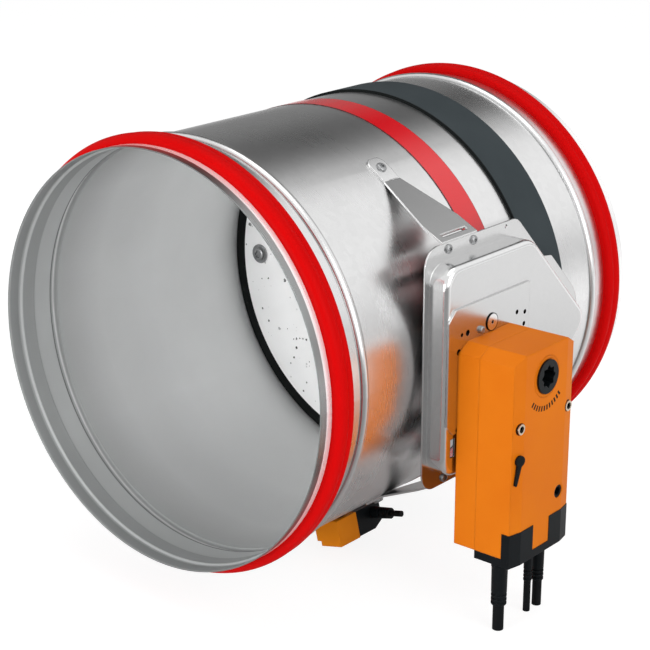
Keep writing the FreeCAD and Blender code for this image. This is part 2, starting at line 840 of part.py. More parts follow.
def link_rod():
    """The flat bar that joins the two cranks and keeps them parallel."""
    drive_y, z = crank_pin_place(drive_axis_y)
    blade_y, z = crank_pin_place(blade_axis_y)
    corner = Vector(rod_x, drive_y, z - rod_width / 2)
    bar = Part.makeBox(rod_thick, blade_y - drive_y, rod_width, corner)
    eyes = [rod_along_x(crank_eye_r, rod_x, rod_x + rod_thick, y, z) for y in (drive_y, blade_y)]
    bar = bar.fuse(eyes).removeSplitter()
    bar = bar.cut(rod_along_x(crank_pin_r + running_gap, rod_x, rod_x + rod_thick, drive_y, z))
    return bar.cut(rod_along_x(crank_pin_r + open_pivot_gap, rod_x, rod_x + rod_thick, blade_y, z))


def body_corners(inset):
    """The actuator's front outline, moved in by an inset."""
    half = actuator_half_width - inset
    top = actuator_top - inset
    shoulder = actuator_half_width - bevel_width - inset / 2
    corner_z = actuator_top - top_corner_rise - inset
    bottom = -actuator_bottom + inset
    near_side = [(-half, bottom), (-half, corner_z), (-shoulder, top)]
    points = near_side + [(-y, z) for y, z in reversed(near_side)]
    return [(drive_axis_y + y, z, 0) for y, z in points]


def rear_housing():
    """The actuator's back shell."""
    shell = plate_at(plate_x, seam_from_back, body_corners(0))
    shell = shell.cut(plate_at(plate_x + housing_wall, seam_from_back, body_corners(housing_wall)))
    boss = rod_along_x(output_r + boss_wall, plate_x, plate_x + boss_length, drive_axis_y)
    shell = shell.fuse(boss).removeSplitter()
    shell = shell.cut(rod_along_x(output_r + running_gap, plate_x, seam_x, drive_axis_y))
    return shell.cut(eyelet_holes())


def eyelet_places():
    """The eyelets' centres, as (y, z)."""
    return [(drive_axis_y - eyelet_y, eyelet_z), (drive_axis_y + eyelet_y, eyelet_z)]


def eyelet_holes():
    """Drills both housings for the eyelets."""
    holes = [rod_along_x(eyelet_r, plate_x, front_x, y, z) for y, z in eyelet_places()]
    return Part.makeCompound(holes)


def bevelled_front(inset, x_from):
    """The front shell's block: its front face falls away towards both sides."""
    block = plate_at(x_from, front_x - inset - x_from, body_corners(inset))
    half = actuator_half_width
    outline = [
        (x_from, -half),
        (front_x - bevel_drop - inset, -half),
        (front_x - inset, -half + bevel_width),
        (front_x - inset, half - bevel_width),
        (front_x - bevel_drop - inset, half),
        (x_from, half),
    ]
    outline = [(x, drive_axis_y + y) for x, y in outline]
    return block.common(prism_z(outline, -actuator_bottom, actuator_top))


def wrap_prism(z_from, z_to):
    """One corner wrap of the end cap, following the bevelled corner, on the near side."""
    half = actuator_half_width
    proud = cap_wrap_thick - cap_wrap_sunk
    thick = cap_wrap_thick
    side_x = front_x - bevel_drop
    points = [
        (side_x - cap_wrap_side, -half - proud),
        (side_x + proud, -half - proud),
        (front_x + proud, -half + bevel_width),
        (front_x + proud, -tongue_half_width),
        (front_x + proud - thick, -tongue_half_width),
        (front_x + proud - thick, -half + bevel_width),
        (side_x + proud - thick, -half - proud + thick),
        (side_x - cap_wrap_side, -half - proud + thick),
    ]
    return prism_z([(x, drive_axis_y + y) for x, y in points], z_from, z_to)


def front_housing():
    """The actuator's front shell, recessed where the end cap wraps its lower corners."""
    shell = bevelled_front(0, seam_x)
    shell = shell.cut(bevelled_front(housing_wall, seam_x))
    boss = rod_along_x(output_r + boss_wall, front_x - boss_length, front_x, drive_axis_y)
    shell = shell.fuse(boss).removeSplitter()
    shell = shell.cut(rod_along_x(output_r + running_gap, seam_x, front_x, drive_axis_y))
    winder_at = drive_axis_y + winder_y
    sleeve = rod_along_x(winder_r + housing_wall, front_x - winder_length, front_x, winder_at, winder_z)
    shell = shell.fuse(sleeve).removeSplitter()
    bore = rod_along_x(winder_r + running_gap, front_x - winder_length, front_x, winder_at, winder_z)
    shell = shell.cut(bore).cut(eyelet_holes())
    wrap = wrap_prism(-actuator_bottom, -actuator_bottom + cap_wrap_height)
    shell = shell.cut(wrap).cut(mirrored_y(wrap, drive_axis_y))
    return shell.cut(placed_lever(lever_pin(running_gap)))


def end_cap():
    """The black cap under the actuator, with a wrap up each front corner and the lead holes."""
    half = actuator_half_width
    proud = cap_wrap_thick - cap_wrap_sunk
    floor_z = -actuator_bottom - cap_height
    side_x = front_x - bevel_drop
    points = [
        (seam_x, -half),
        (side_x - cap_wrap_side, -half),
        (side_x - cap_wrap_side, -half - proud),
        (side_x + proud, -half - proud),
        (front_x + proud, -half + bevel_width),
    ]
    points = points + [(x, -y) for x, y in reversed(points)]
    base = prism_z([(x, drive_axis_y + y) for x, y in points], floor_z, -actuator_bottom)
    wrap = wrap_prism(-actuator_bottom, -actuator_bottom + cap_wrap_height)
    return base.fuse([wrap, mirrored_y(wrap, drive_axis_y)]).removeSplitter()


def output_bush():
    """The output bush with an eight-point bore right through."""
    bush = rod_along_x(output_r, plate_x + seat_gap, front_x + output_proud, drive_axis_y)
    star = square_bar(star_square, plate_x, front_x + output_proud)
    star = star.fuse(square_bar(star_square, plate_x, front_x + output_proud, 45.0))
    return bush.cut(star)


def drive_spindle():
    """The square bar that the output bush turns."""
    return square_bar(spindle_square, crank_x + shaft_tail, front_x - spindle_from_front)


def housing_eyelets():
    """Tubular rivets with bright lips that hold the actuator together."""
    eyelets = []
    for y, z in eyelet_places():
        sunk = bevel_depth_at(y)
        tube = rod_along_x(eyelet_r, plate_x, front_x - sunk + eyelet_lip_height, y, z)
        lip = rod_along_x(eyelet_lip_r, front_x - sunk, front_x - sunk + eyelet_lip_height, y, z)
        bore = rod_along_x(eyelet_bore_r, plate_x, front_x + eyelet_lip_height, y, z)
        eyelets.append(tube.fuse(lip).removeSplitter().cut(bore))
    return Part.makeCompound(eyelets)


def bevel_depth_at(y):
    """How far the bevel lies behind the front face at one Y, plus a seat for an eyelet's lip."""
    from_edge = actuator_half_width - abs(y - drive_axis_y)
    outer = from_edge + eyelet_lip_r
    return max(0.0, bevel_drop * (1 - outer / bevel_width))


def winder_socket():
    """The socket for the hand crank, with a hexagonal hole."""
    y = drive_axis_y + winder_y
    mouth = front_x - winder_recess
    socket = rod_along_x(winder_r, front_x - winder_length + winder_recess, mouth, y, winder_z)
    corner_r = winder_hex_flat / math.sqrt(3)
    hexagon = []
    for k in range(7):
        angle = math.pi * k / 3
        across = y + corner_r * math.cos(angle)
        up = winder_z + corner_r * math.sin(angle)
        hexagon.append(Vector(mouth - winder_hex_depth, across, up))
    return socket.cut(Part.Face(Part.makePolygon(hexagon)).extrude(Vector(winder_hex_depth, 0, 0)))


def lever_pin(gap):
    """The lever's pivot pin in the lever's own frame, with a gap for its hole."""
    return rod_along_x(lever_pin_r + gap, -lever_pin_length, 0)


def placed_lever(shape):
    """Moves a shape from the lever's own frame to the front's near bevel."""
    lean = math.degrees(math.atan2(bevel_drop, bevel_width))
    depth = bevel_drop * (1 - (actuator_half_width + lever_y) / bevel_width)
    placed = shape.copy()
    placed.rotate(origin, along_z, -lean)
    placed.translate(Vector(front_x - depth + lever_lift, drive_axis_y + lever_y, lever_z))
    return placed


def lock_lever():
    """The lever that locks the hand winding: a round head, a slim tapered tail and its own pivot pin."""
    head = rod_along_x(lever_head_r, 0, lever_thick)
    tip = rod_along_x(lever_tip_r, 0, lever_thick, 0, -lever_length)
    neck = [Vector(0, lever_neck_half, 0), Vector(0, -lever_neck_half, 0)]
    end = [Vector(0, -lever_tip_r, -lever_length), Vector(0, lever_tip_r, -lever_length)]
    web = Part.Face(Part.makePolygon(neck + end + neck[:1])).extrude(Vector(lever_thick, 0, 0))
    blade = head.fuse([web, tip]).removeSplitter()
    blade.rotate(origin, along_x, -lever_lean_deg)
    return placed_lever(blade.fuse(lever_pin(0)))


def boot(radius, length, lead_r):
    """A tapered cable boot that hangs down from Z = 0, with strain relief grooves near its end."""
    end_r = radius * boot_taper
    sleeve = Part.makeCone(end_r, radius, length, Vector(0, 0, -length))
    for k in range(boot_groove_count):
        z = -length + (k + 1) * boot_groove_pitch
        band = Part.makeCylinder(radius, boot_groove_width, Vector(0, 0, z))
        core_r = max(end_r - boot_groove_depth, (end_r + lead_r) / 2)
        core = Part.makeCylinder(core_r, boot_groove_width, Vector(0, 0, z))
        sleeve = sleeve.cut(band.cut(core))
    return sleeve.cut(Part.makeCylinder(lead_r, length, Vector(0, 0, -length)))


def lead_boot(y, boot_r, boot_length, lead_r):
    """The boot of one actuator lead."""
    shape = boot(boot_r, boot_length, lead_r)
    shape.translate(Vector(lead_x, drive_axis_y + y, -actuator_bottom - cap_height))
    return shape


def lead_stub(y, lead_r):
    """One actuator lead, cut short below its boot as on the real one in its packing."""
    end = Vector(lead_x, drive_axis_y + y, -actuator_bottom - cap_height - lead_length)
    return Part.makeCylinder(lead_r, lead_length, end)


def release_pedestal():
    """The collar that carries the thermal release and passes the probe through the casing."""
    start = Vector(0, release_y, casing_bore_r)
    tube = Part.makeCylinder(pedestal_r, release_top_r - casing_bore_r, start)
    flange = Part.makeCylinder(pedestal_flange_r, casing_sheet + pedestal_flange_thick, start)
    tube = on_casing(tube.fuse(flange).removeSplitter(), release_deg)
    wall = Part.makeCylinder(spigot_r, casing_length, origin, along_y)
    collar = on_casing(Part.makeCylinder(pedestal_r, probe_length, start), release_deg)
    tube = tube.cut(wall.cut(collar))
    return tube.cut(on_casing(Part.makeCylinder(probe_r, probe_length, start), release_deg))


def release_block(y_from, y_to, depth):
    """A plain block of the release, outwards from its seat."""
    corner = Vector(-release_width / 2, y_from, release_top_r)
    return Part.makeBox(release_width, y_to - y_from, depth, corner)


def release_housing():
    """The thermal release's orange housing, stepped down on one side, with a button hole."""
    near = release_y - release_length / 2
    far = near + release_length
    block = release_block(near, far, release_depth)
    low = release_top_r + release_depth
    step_at = Vector(release_width / 2 - release_step, near, low - release_step)
    block = block.cut(Part.makeBox(release_step, release_length, release_step, step_at))
    hole_at = Vector(0, release_y, low - button_length)
    hole = Part.makeCylinder(button_r + running_gap, button_length, hole_at)
    return on_casing(block.cut(hole), release_deg)


def release_connector():
    """The black terminal block on the release's far end, with its lower corner cut off."""
    near = release_y + release_length / 2
    far = near + connector_length
    block = release_block(near, far, connector_depth)
    low = release_top_r + connector_depth
    side = -release_width / 2
    points = [
        Vector(side, far, low),
        Vector(side, far - 2 * connector_chamfer, low),
        Vector(side, far, low - connector_chamfer),
    ]
    wedge = Part.Face(Part.makePolygon(points + points[:1])).extrude(Vector(release_width, 0, 0))
    return on_casing(block.cut(wedge), release_deg)


def release_probe():
    """The sensing tube that reaches into the duct."""
    tip = release_top_r - probe_length
    tube = Part.makeCylinder(probe_r, probe_length, Vector(0, release_y, tip))
    return on_casing(tube, release_deg)


def test_button():
    """The sprung test button on the release's outer face."""
    low = release_top_r + release_depth
    length = button_length - button_travel - seat_gap + button_proud
    button = Part.makeCylinder(button_r, length, Vector(0, release_y, low + button_proud - length))
    return on_casing(button, release_deg)


def sideways_on_release(shape):
    """Turns a boot or lead so that it leaves the connector's outer side."""
    turned = shape.copy()
    turned.rotate(origin, along_y, 90)
    y = release_y + release_length / 2 + connector_length / 2 + release_lead_y / 2
    turned.translate(Vector(-release_width / 2, y, release_top_r + release_lead_from_top))
    return on_casing(turned, release_deg)


def release_boot():
    """The boot of the release's lead."""
    return sideways_on_release(boot(release_boot_r, release_boot_length, release_lead_r))


def release_lead():
    """The release's lead, cut short beyond its boot."""
    length = release_boot_length + release_lead_length
    return sideways_on_release(Part.makeCylinder(release_lead_r, length, Vector(0, 0, -length)))


def main():
    """Makes every piece and writes it."""
    os.makedirs("parts", exist_ok=True)
    near_gasket = lip_gasket()
    save("casing", casing_tube())
    save("near_lip_gasket", near_gasket)
    save("far_lip_gasket", mirrored_y(near_gasket, casing_length / 2))
    save("label_band", label_band())
    save("outer_seal_band", outer_seal_band())
    save("upper_blade_stop", blade_stop(1))
    save("lower_blade_stop", blade_stop(-1))
    save("shaft_bush", shaft_bush())
    save("idle_bush", idle_bush())
    save("blade_board", blade_board())
    save("blade_rim_seal", blade_rim_seal())
    save("blade_bolts", blade_bolts())
    save("drive_shaft", pivot(shaft_r, crank_x + crank_hub_height + shaft_tail, 1))
    save("idle_pivot", pivot(idle_r, spigot_r + bush_outside - idle_cap_thick - seat_gap, -1))
    save("console", console())
    save("upper_strut", strut(1))
    save("lower_strut", strut(-1))
    save("foot_screws", foot_screws())
    save("rim_screws", rim_screws())
    save("actuator_plate", actuator_plate())
    save("plate_plug", plate_plug())
    save("locating_pin", locating_pin())
    save("blade_crank", blade_crank())
    save("drive_crank", drive_crank())
    save("blade_crank_pin", crank_pin(blade_axis_y))
    save("drive_crank_pin", crank_pin(drive_axis_y))
    save("link_rod", link_rod())
    save("rear_housing", rear_housing())
    save("front_housing", front_housing())
    save("end_cap", end_cap())
    save("output_bush", output_bush())
    save("drive_spindle", drive_spindle())
    save("housing_eyelets", housing_eyelets())
    save("winder_socket", winder_socket())
    save("lock_lever", lock_lever())
    for name, y, boot_r, boot_length, lead_r in lead_rows:
        save(name + "_boot", lead_boot(y, boot_r, boot_length, lead_r))
        save(name + "_lead", lead_stub(y, lead_r))
    save("release_pedestal", release_pedestal())
    save("release_housing", release_housing())
    save("release_connector", release_connector())
    save("release_probe", release_probe())
    save("test_button", test_button())
    save("release_boot", release_boot())
    save("release_lead", release_lead())


main()
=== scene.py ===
# %% [markdown]
# # Dressing a round fire damper
# A fire damper is a short piece of duct with a pivoting board inside, which a spring closes when it gets hot.
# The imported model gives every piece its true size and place, in metres: the duct runs along +Y,
# the actuator sits on +X, and +Z is up. This script adds finishes, fine detail, light and a camera.

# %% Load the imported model
import json
import math

import bmesh
import bpy
from mathutils import Matrix, Vector

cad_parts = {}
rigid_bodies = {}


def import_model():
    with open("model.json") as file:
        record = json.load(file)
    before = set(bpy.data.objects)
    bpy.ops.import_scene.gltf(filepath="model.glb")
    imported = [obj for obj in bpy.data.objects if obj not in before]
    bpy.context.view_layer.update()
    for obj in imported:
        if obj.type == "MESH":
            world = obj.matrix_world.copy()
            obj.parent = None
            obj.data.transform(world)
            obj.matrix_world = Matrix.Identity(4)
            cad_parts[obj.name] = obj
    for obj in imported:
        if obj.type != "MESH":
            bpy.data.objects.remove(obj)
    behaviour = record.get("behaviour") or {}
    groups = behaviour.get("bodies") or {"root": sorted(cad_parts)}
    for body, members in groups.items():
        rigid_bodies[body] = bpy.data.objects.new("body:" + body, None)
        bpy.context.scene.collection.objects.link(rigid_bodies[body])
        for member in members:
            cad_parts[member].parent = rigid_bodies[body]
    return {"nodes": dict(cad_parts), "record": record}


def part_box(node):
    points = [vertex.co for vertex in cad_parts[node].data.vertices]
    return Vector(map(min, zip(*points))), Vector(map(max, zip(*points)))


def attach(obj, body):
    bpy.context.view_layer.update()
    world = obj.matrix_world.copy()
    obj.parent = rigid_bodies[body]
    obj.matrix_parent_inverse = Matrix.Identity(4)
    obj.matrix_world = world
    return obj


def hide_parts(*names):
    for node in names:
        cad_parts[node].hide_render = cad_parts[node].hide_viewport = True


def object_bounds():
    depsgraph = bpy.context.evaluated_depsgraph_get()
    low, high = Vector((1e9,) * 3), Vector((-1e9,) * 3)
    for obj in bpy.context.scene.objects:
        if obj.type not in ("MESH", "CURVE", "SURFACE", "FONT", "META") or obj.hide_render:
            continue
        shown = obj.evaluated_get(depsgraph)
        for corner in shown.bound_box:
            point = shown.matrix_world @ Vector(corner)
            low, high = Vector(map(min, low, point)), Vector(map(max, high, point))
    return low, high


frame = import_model()
cad_low, cad_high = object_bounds()
nodes = frame["nodes"]
scene_root = bpy.context.scene.collection.objects
print("nodes", len(nodes), "size", [round(b - a, 4) for a, b in zip(cad_low, cad_high)])

# %% [markdown]
# ## The camera
# The picture was taken from the near end, a little from the actuator's side and from above. The camera's
# turn and lens were worked out from the end circles of the duct. A small shift moves the whole picture,
# as a view camera does, so the object sits where it should without a change of perspective.

# %% Place the camera
AZIMUTH = math.radians(39.88)
ELEVATION = math.radians(19.11)
CAMERA_PLACE = Vector((1.0996, -1.0631, 0.5552))
PICTURE_SIDE = 650
FOCAL_PIXELS = 1783.8
PRINCIPAL_X = 331.76
PRINCIPAL_Y = 334.82

bpy.context.scene.view_settings.view_transform = "Standard"
camera_data = bpy.data.cameras.new("camera")
camera_data.sensor_width = 36.0
camera_data.lens = FOCAL_PIXELS / PICTURE_SIDE * camera_data.sensor_width
camera_data.shift_x = (PICTURE_SIDE / 2 - PRINCIPAL_X) / PICTURE_SIDE
camera_data.shift_y = (PRINCIPAL_Y - PICTURE_SIDE / 2) / PICTURE_SIDE
camera = bpy.data.objects.new("camera", camera_data)
camera.location = CAMERA_PLACE
camera.rotation_euler = (math.pi / 2 - ELEVATION, 0.0, AZIMUTH)
scene_root.link(camera)
bpy.context.scene.camera = camera
print("lens", round(camera_data.lens, 2), "mm")

# %% [markdown]
# ## Helpers
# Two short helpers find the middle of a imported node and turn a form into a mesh. The rest are for trees of
# nodes, which the world, the paper and every finish are made of. The first of those adds one node, sets it
# up and fills its inputs with values or links, and the others are the steps that come back most often.

# %% Define the helpers for boxes and meshes


def middle_of(node_name):
    """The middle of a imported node's box."""
    low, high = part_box(node_name)
    return (low + high) / 2


def mesh_of(name, form):
    """Turns a form into a mesh and frees the form."""
    mesh = bpy.data.meshes.new(name)
    form.to_mesh(mesh)
    form.free()
    return mesh


print("middle of the blade", [round(v, 4) for v in middle_of("blade_board")])

# %% Define the helpers for nodes


def add_node(tree, kind, inputs=(), **settings):
    """Adds a shader node. Inputs are pairs of a name or number and a value or socket."""
    node = tree.nodes.new("ShaderNode" + kind)
    for setting, value in settings.items():
        setattr(node, setting, value)
    for key, value in inputs:
        if isinstance(value, bpy.types.NodeSocket):
            tree.links.new(value, node.inputs[key])
        else:
            node.inputs[key].default_value = value
    return node


def work_out(tree, operation, first, second=0.0):
    """The result of one Math node."""
    return add_node(tree, "Math", ((0, first), (1, second)), operation=operation).outputs[0]


def vector_step(tree, operation, first, second=(0, 0, 0)):
    """The vector that one Vector Math node makes."""
    return add_node(tree, "VectorMath", ((0, first), (1, second)), operation=operation).outputs["Vector"]


def vector_measure(tree, operation, first, second):
    """The number that one Vector Math node makes."""
    return add_node(tree, "VectorMath", ((0, first), (1, second)), operation=operation).outputs["Value"]


def split_axes(tree, place):
    """The outputs X, Y and Z of a place or direction."""
    return add_node(tree, "SeparateXYZ", ((0, place),)).outputs


print("helpers for nodes are ready")

# %% Define the helpers for values and colours


def spread_value(tree, source, low, high, to_low=0.0, to_high=1.0, curve="LINEAR"):
    """Stretches the part of a value between low and high to the range from to_low to to_high."""
    ends = (("From Min", low), ("From Max", high), ("To Min", to_low), ("To Max", to_high))
    return add_node(tree, "MapRange", (("Value", source), *ends), interpolation_type=curve).outputs["Result"]


def mix_colours(tree, share, below, above, mode="MIX"):
    """Mixes two colours."""
    inputs = (("Factor", share), ("A", below), ("B", above))
    return add_node(tree, "Mix", inputs, data_type="RGBA", blend_type=mode).outputs["Result"]


def mix_shaders(tree, share, below, above):
    """Mixes two shaders."""
    return add_node(tree, "MixShader", ((0, share), (1, below), (2, above))).outputs[0]


def colour_ramp(tree, share, stops):
    """A ramp through stops of a place from 0 to 1 and a colour."""
    ramp = add_node(tree, "ValToRGB", (("Fac", share),))
    elements = ramp.color_ramp.elements
    for k, (place, colour) in enumerate(stops):
        stop = elements[k] if k < 2 else elements.new(place)
        stop.position = place
        stop.color = colour
    return ramp.outputs["Color"]


def noise(tree, place, **values):
    """A noise that reads the given coordinates, with its own values."""
    return add_node(tree, "TexNoise", (("Vector", place), *values.items()))


def grey(tone):
    """A grey as a colour."""
    return (tone, tone, tone, 1)


print("helpers for values and colours are ready")

# %% [markdown]
# ## Floor and light
# The damper stands on white paper. Light Path tells a shader which kind of ray asks for its colour, so the
# paper can look nearly white to the camera, show mirrors another tone, and still throw back only the light
# that falls on it. A soft shadow stays, because the paper's own glow is only part of its white.

# %% Define what the background shows
SEEN_KINDS = ("Is Camera Ray", "Is Glossy Ray", "Is Transmission Ray")


def seen_directly(tree):
    """A socket that is 1 for rays from the camera, from mirrors and through glass."""
    path = add_node(tree, "LightPath")
    total = path.outputs[SEEN_KINDS[0]]
    for kind in SEEN_KINDS[1:]:
        total = work_out(tree, "MAXIMUM", total, path.outputs[kind])
    return total


print("rays that see the background:", ", ".join(SEEN_KINDS))

# %% [markdown]
# Bare steel has no colour of its own to speak of: it shows the room. A photographer hangs dark and pale
# cards round a shiny tube, because a tube in an all-white room looks flat. Here the cards are tones in the
# world that only mirrors see, set by the angle round the duct: pale on the upper right, dark overhead and
# grey on the left and below. Towards the near end the room is pale all round. The camera itself, and
# anything seen through glass, gets plain white.

# %% Choose the tones of the room
SKY_STRENGTH = 0.50
FRONT_TONE = 0.90
FRONT_ENDS = -0.1
CARDS_START = 0.3
CARD_TONES = (
    (-180, 0.24),
    (-40, 0.50),
    (0, 0.64),
    (26, 1.00),
    (80, 1.00),
    (95, 0.56),
    (110, 0.10),
    (124, 0.03),
    (150, 0.20),
    (180, 0.24),
)


def room_tone(tree):
    """The grey of the room in a direction: cards behind the object, pale in front of it."""
    direction = split_axes(tree, add_node(tree, "TexCoord").outputs["Generated"])
    angle = work_out(tree, "ARCTAN2", direction["Z"], direction["X"])
    round_duct = spread_value(tree, angle, -math.pi, math.pi)
    cards = colour_ramp(tree, round_duct, [((place + 180) / 360, grey(tone)) for place, tone in CARD_TONES])
    behind = spread_value(tree, direction["Y"], FRONT_ENDS, CARDS_START, curve="SMOOTHSTEP")
    return mix_colours(tree, behind, grey(FRONT_TONE), cards)


print("cards", len(CARD_TONES))

# %% Make the world
world = bpy.data.worlds.new("studio")
bpy.context.scene.world = world
world.use_nodes = True
sky_tree = world.node_tree
sky = sky_tree.nodes["Background"]
sky.inputs["Strength"].default_value = SKY_STRENGTH
sky.inputs["Color"].default_value = grey(1)
in_mirrors = add_node(sky_tree, "LightPath").outputs["Is Glossy Ray"]
backdrop_colour = mix_colours(sky_tree, in_mirrors, grey(1), room_tone(sky_tree))
backdrop = add_node(sky_tree, "Background", (("Color", backdrop_colour),))
sky_mix = mix_shaders(sky_tree, seen_directly(sky_tree), sky.outputs[0], backdrop.outputs[0])
sky_tree.links.new(sky_mix, sky_tree.nodes["World Output"].inputs["Surface"])
print("sky strength", SKY_STRENGTH)

# %% [markdown]
# The paper has three looks. Light that bounces off it is ordinary. The camera sees it nearly white with a
# faint shadow. Mirrors see more of its shadow and a grey card laid in front, or the steel's underside and
# near walls would glow.

# %% Lay the paper floor
FLOOR_HALF = 8.0
FLOOR_GAP = 0.0005
PAPER_WHITE = 0.92
SEEN_SHARE = 0.26
SEEN_GLOW = 0.86
CARD_FROM = -0.1
CARD_TO = 1.1
MIRROR_NEAR = 0.22
MIRROR_FAR = 1.00
MIRROR_GLOW = 0.30

paper = bpy.data.materials.new("white_paper")
paper.use_nodes = True
paper_tree = paper.node_tree
paper_tree.nodes.remove(paper_tree.nodes["Principled BSDF"])


def paper_look(tone, glow_tone, glow_strength):
    """Diffuse paper with a glow of its own."""
    diffuse = add_node(paper_tree, "BsdfDiffuse", (("Color", tone),))
    glow = add_node(paper_tree, "Emission", (("Color", glow_tone), ("Strength", glow_strength)))
    return add_node(paper_tree, "AddShader", ((0, diffuse.outputs[0]), (1, glow.outputs[0]))).outputs[0]


along_floor = split_axes(paper_tree, add_node(paper_tree, "TexCoord").outputs["Object"])["Y"]
card = spread_value(paper_tree, along_floor, CARD_FROM, CARD_TO, MIRROR_NEAR, MIRROR_FAR)
in_mirrors = add_node(paper_tree, "LightPath").outputs["Is Glossy Ray"]
bounced = paper_look(grey(PAPER_WHITE), grey(1), 0.0)
seen = paper_look(grey(SEEN_SHARE), grey(1), SEEN_GLOW)
mirrored = paper_look(card, card, MIRROR_GLOW)
seen_or_mirrored = mix_shaders(paper_tree, in_mirrors, seen, mirrored)
paper_mix = mix_shaders(paper_tree, seen_directly(paper_tree), bounced, seen_or_mirrored)
paper_tree.links.new(paper_mix, paper_tree.nodes["Material Output"].inputs["Surface"])

floor_z = cad_low.z - FLOOR_GAP
floor_form = bmesh.new()
bmesh.ops.create_grid(floor_form, x_segments=1, y_segments=1, size=FLOOR_HALF)
bmesh.ops.translate(floor_form, vec=(0, 0, floor_z), verts=floor_form.verts)
floor_mesh = mesh_of("floor", floor_form)
floor_mesh.materials.append(paper)
floor = bpy.data.objects.new("floor", floor_mesh)
scene_root.link(floor)
print("floor at z", round(floor_z, 4))

# %% [markdown]
# Three large soft lamps light the object: one from the near end, which reaches the blade inside the duct,
# a fill from the actuator's side and a broad one overhead. An area lamp's size sets how soft its shadow is.

# %% Hang the lamps
CENTRE = Vector((0.03, 0.242, 0.0))
LAMPS = (
    ("near_end", -6, 3, 2.6, 0.9, 32),
    ("fill_actuator_side", 78, 22, 2.4, 1.6, 22),
    ("overhead", 10, 86, 2.2, 1.6, 14),
)

for lamp_name, azimuth, elevation, distance, side, watts in LAMPS:
    lamp_data = bpy.data.lights.new(lamp_name, "AREA")
    lamp_data.shape = "SQUARE"
    lamp_data.size = side
    lamp_data.energy = watts
    lamp = bpy.data.objects.new(lamp_name, lamp_data)
    turn = math.radians(azimuth)
    lift = math.radians(elevation)
    flat = math.cos(lift)
    away = Vector((math.sin(turn) * flat, -math.cos(turn) * flat, math.sin(lift)))
    lamp.location = CENTRE + away * distance
    lamp.rotation_euler = away.to_track_quat("Z", "Y").to_euler()
    scene_root.link(lamp)
print("lamps", len(LAMPS))

# %% [markdown]
# ## Effects that several finishes share
# Real surfaces are never one flat colour. A node group makes an effect once, with named inputs, and each
# finish places it with its own values: the grain of a mould, slow patches, rolling lines, the crystals of
# zinc, and edges that are slightly round and paler, from wear and from a painted highlight.

# %% Define an empty effect group
NOISE_RANGE = (0.3, 0.7)
VECTOR = "NodeSocketVector"
NUMBER = "NodeSocketFloat"
COLOUR = "NodeSocketColor"


def start_group(name, inputs, outputs):
    """A node group with the named sockets. Returns the group, its input node and its output node."""
    group = bpy.data.node_groups.new(name, "ShaderNodeTree")
    for socket_name, kind, value in inputs:
        socket = group.interface.new_socket(name=socket_name, in_out="INPUT", socket_type=kind)
        if value is not None:
            socket.default_value = value
    for socket_name, kind in outputs:
        group.interface.new_socket(name=socket_name, in_out="OUTPUT", socket_type=kind)
    return group, group.nodes.new("NodeGroupInput"), group.nodes.new("NodeGroupOutput")


print("helpers for groups are ready")

# %% Build the moulded grain


def build_grain():
    """Fine pits and bumps, as a height from 0 to 1."""
    group, given, result = start_group(
        "moulded_grain",
        [("Vector", VECTOR, None), ("Scale", NUMBER, 900.0)],
        [("Height", NUMBER)],
    )
    pits = noise(group, given.outputs["Vector"], Scale=given.outputs["Scale"], Detail=3.0, Roughness=0.6)
    group.links.new(pits.outputs["Fac"], result.inputs["Height"])
    return group


GRAIN = build_grain()
print("made", GRAIN.name)

# %% Build the slow patches


def build_patches():
    """Slow light and dark patches that mix two colours, and a roughness that moves with them."""
    group, given, result = start_group(
        "slow_patches",
        [
            ("Vector", VECTOR, None),
            ("Scale", NUMBER, 12.0),
            ("Dark", COLOUR, (0.5, 0.5, 0.5, 1)),
            ("Light", COLOUR, (0.6, 0.6, 0.6, 1)),
            ("Smooth", NUMBER, 0.4),
            ("Rough", NUMBER, 0.5),
        ],
        [("Color", COLOUR), ("Roughness", NUMBER)],
    )
    cloud = noise(group, given.outputs["Vector"], Scale=given.outputs["Scale"], Detail=5.0)
    share = spread_value(group, cloud.outputs["Fac"], *NOISE_RANGE)
    colour = mix_colours(group, share, given.outputs["Dark"], given.outputs["Light"])
    rough = spread_value(group, share, 0.0, 1.0, given.outputs["Smooth"], given.outputs["Rough"])
    group.links.new(colour, result.inputs["Color"])
    group.links.new(rough, result.inputs["Roughness"])
    return group


PATCHES = build_patches()
print("made", PATCHES.name)

# %% [markdown]
# A rolling mill leaves fine lines along the sheet. Noise that is squeezed in one direction makes them.
# Hot zinc sets in flat crystals, and a Voronoi texture gives each of its cells a grey of its own.

# %% Build the rolled sheet


def build_sheet():
    """Fine rolling lines, and a slightly different brightness for each zinc crystal."""
    group, given, result = start_group(
        "rolled_sheet",
        [("Vector", VECTOR, None), ("Stretch", VECTOR, (4.0, 260.0, 4.0)), ("Crystals", NUMBER, 140.0)],
        [("Lines", NUMBER), ("Crystal", NUMBER)],
    )
    squeezed = vector_step(group, "MULTIPLY", given.outputs["Vector"], given.outputs["Stretch"])
    lines = noise(group, squeezed, Scale=1.0, Detail=6.0, Roughness=0.7)
    cell_inputs = (("Vector", given.outputs["Vector"]), ("Scale", given.outputs["Crystals"]))
    cells = add_node(group, "TexVoronoi", cell_inputs)
    shades = add_node(group, "SeparateColor", (("Color", cells.outputs["Color"]),))
    group.links.new(lines.outputs["Fac"], result.inputs["Lines"])
    group.links.new(shades.outputs["Red"], result.inputs["Crystal"])
    return group


SHEET = build_sheet()
print("made", SHEET.name)

# %% [markdown]
# No real edge is perfectly sharp, and each catches a thin line of light. The Bevel node rounds the shading
# of an edge without touching the mesh, and the turn between its normal and the true one shows where the
# edges are, so the same group also gives a patchy mask there for rubbed wear and a painted highlight.

# %% Build the worn edges
EDGE_SAMPLES = 4
EDGE_TURN = (0.99, 0.9)
WEAR_AND_SHEEN_SCALE = 70.0
WEAR_AND_SHEEN_RANGE = (0.35, 0.65)


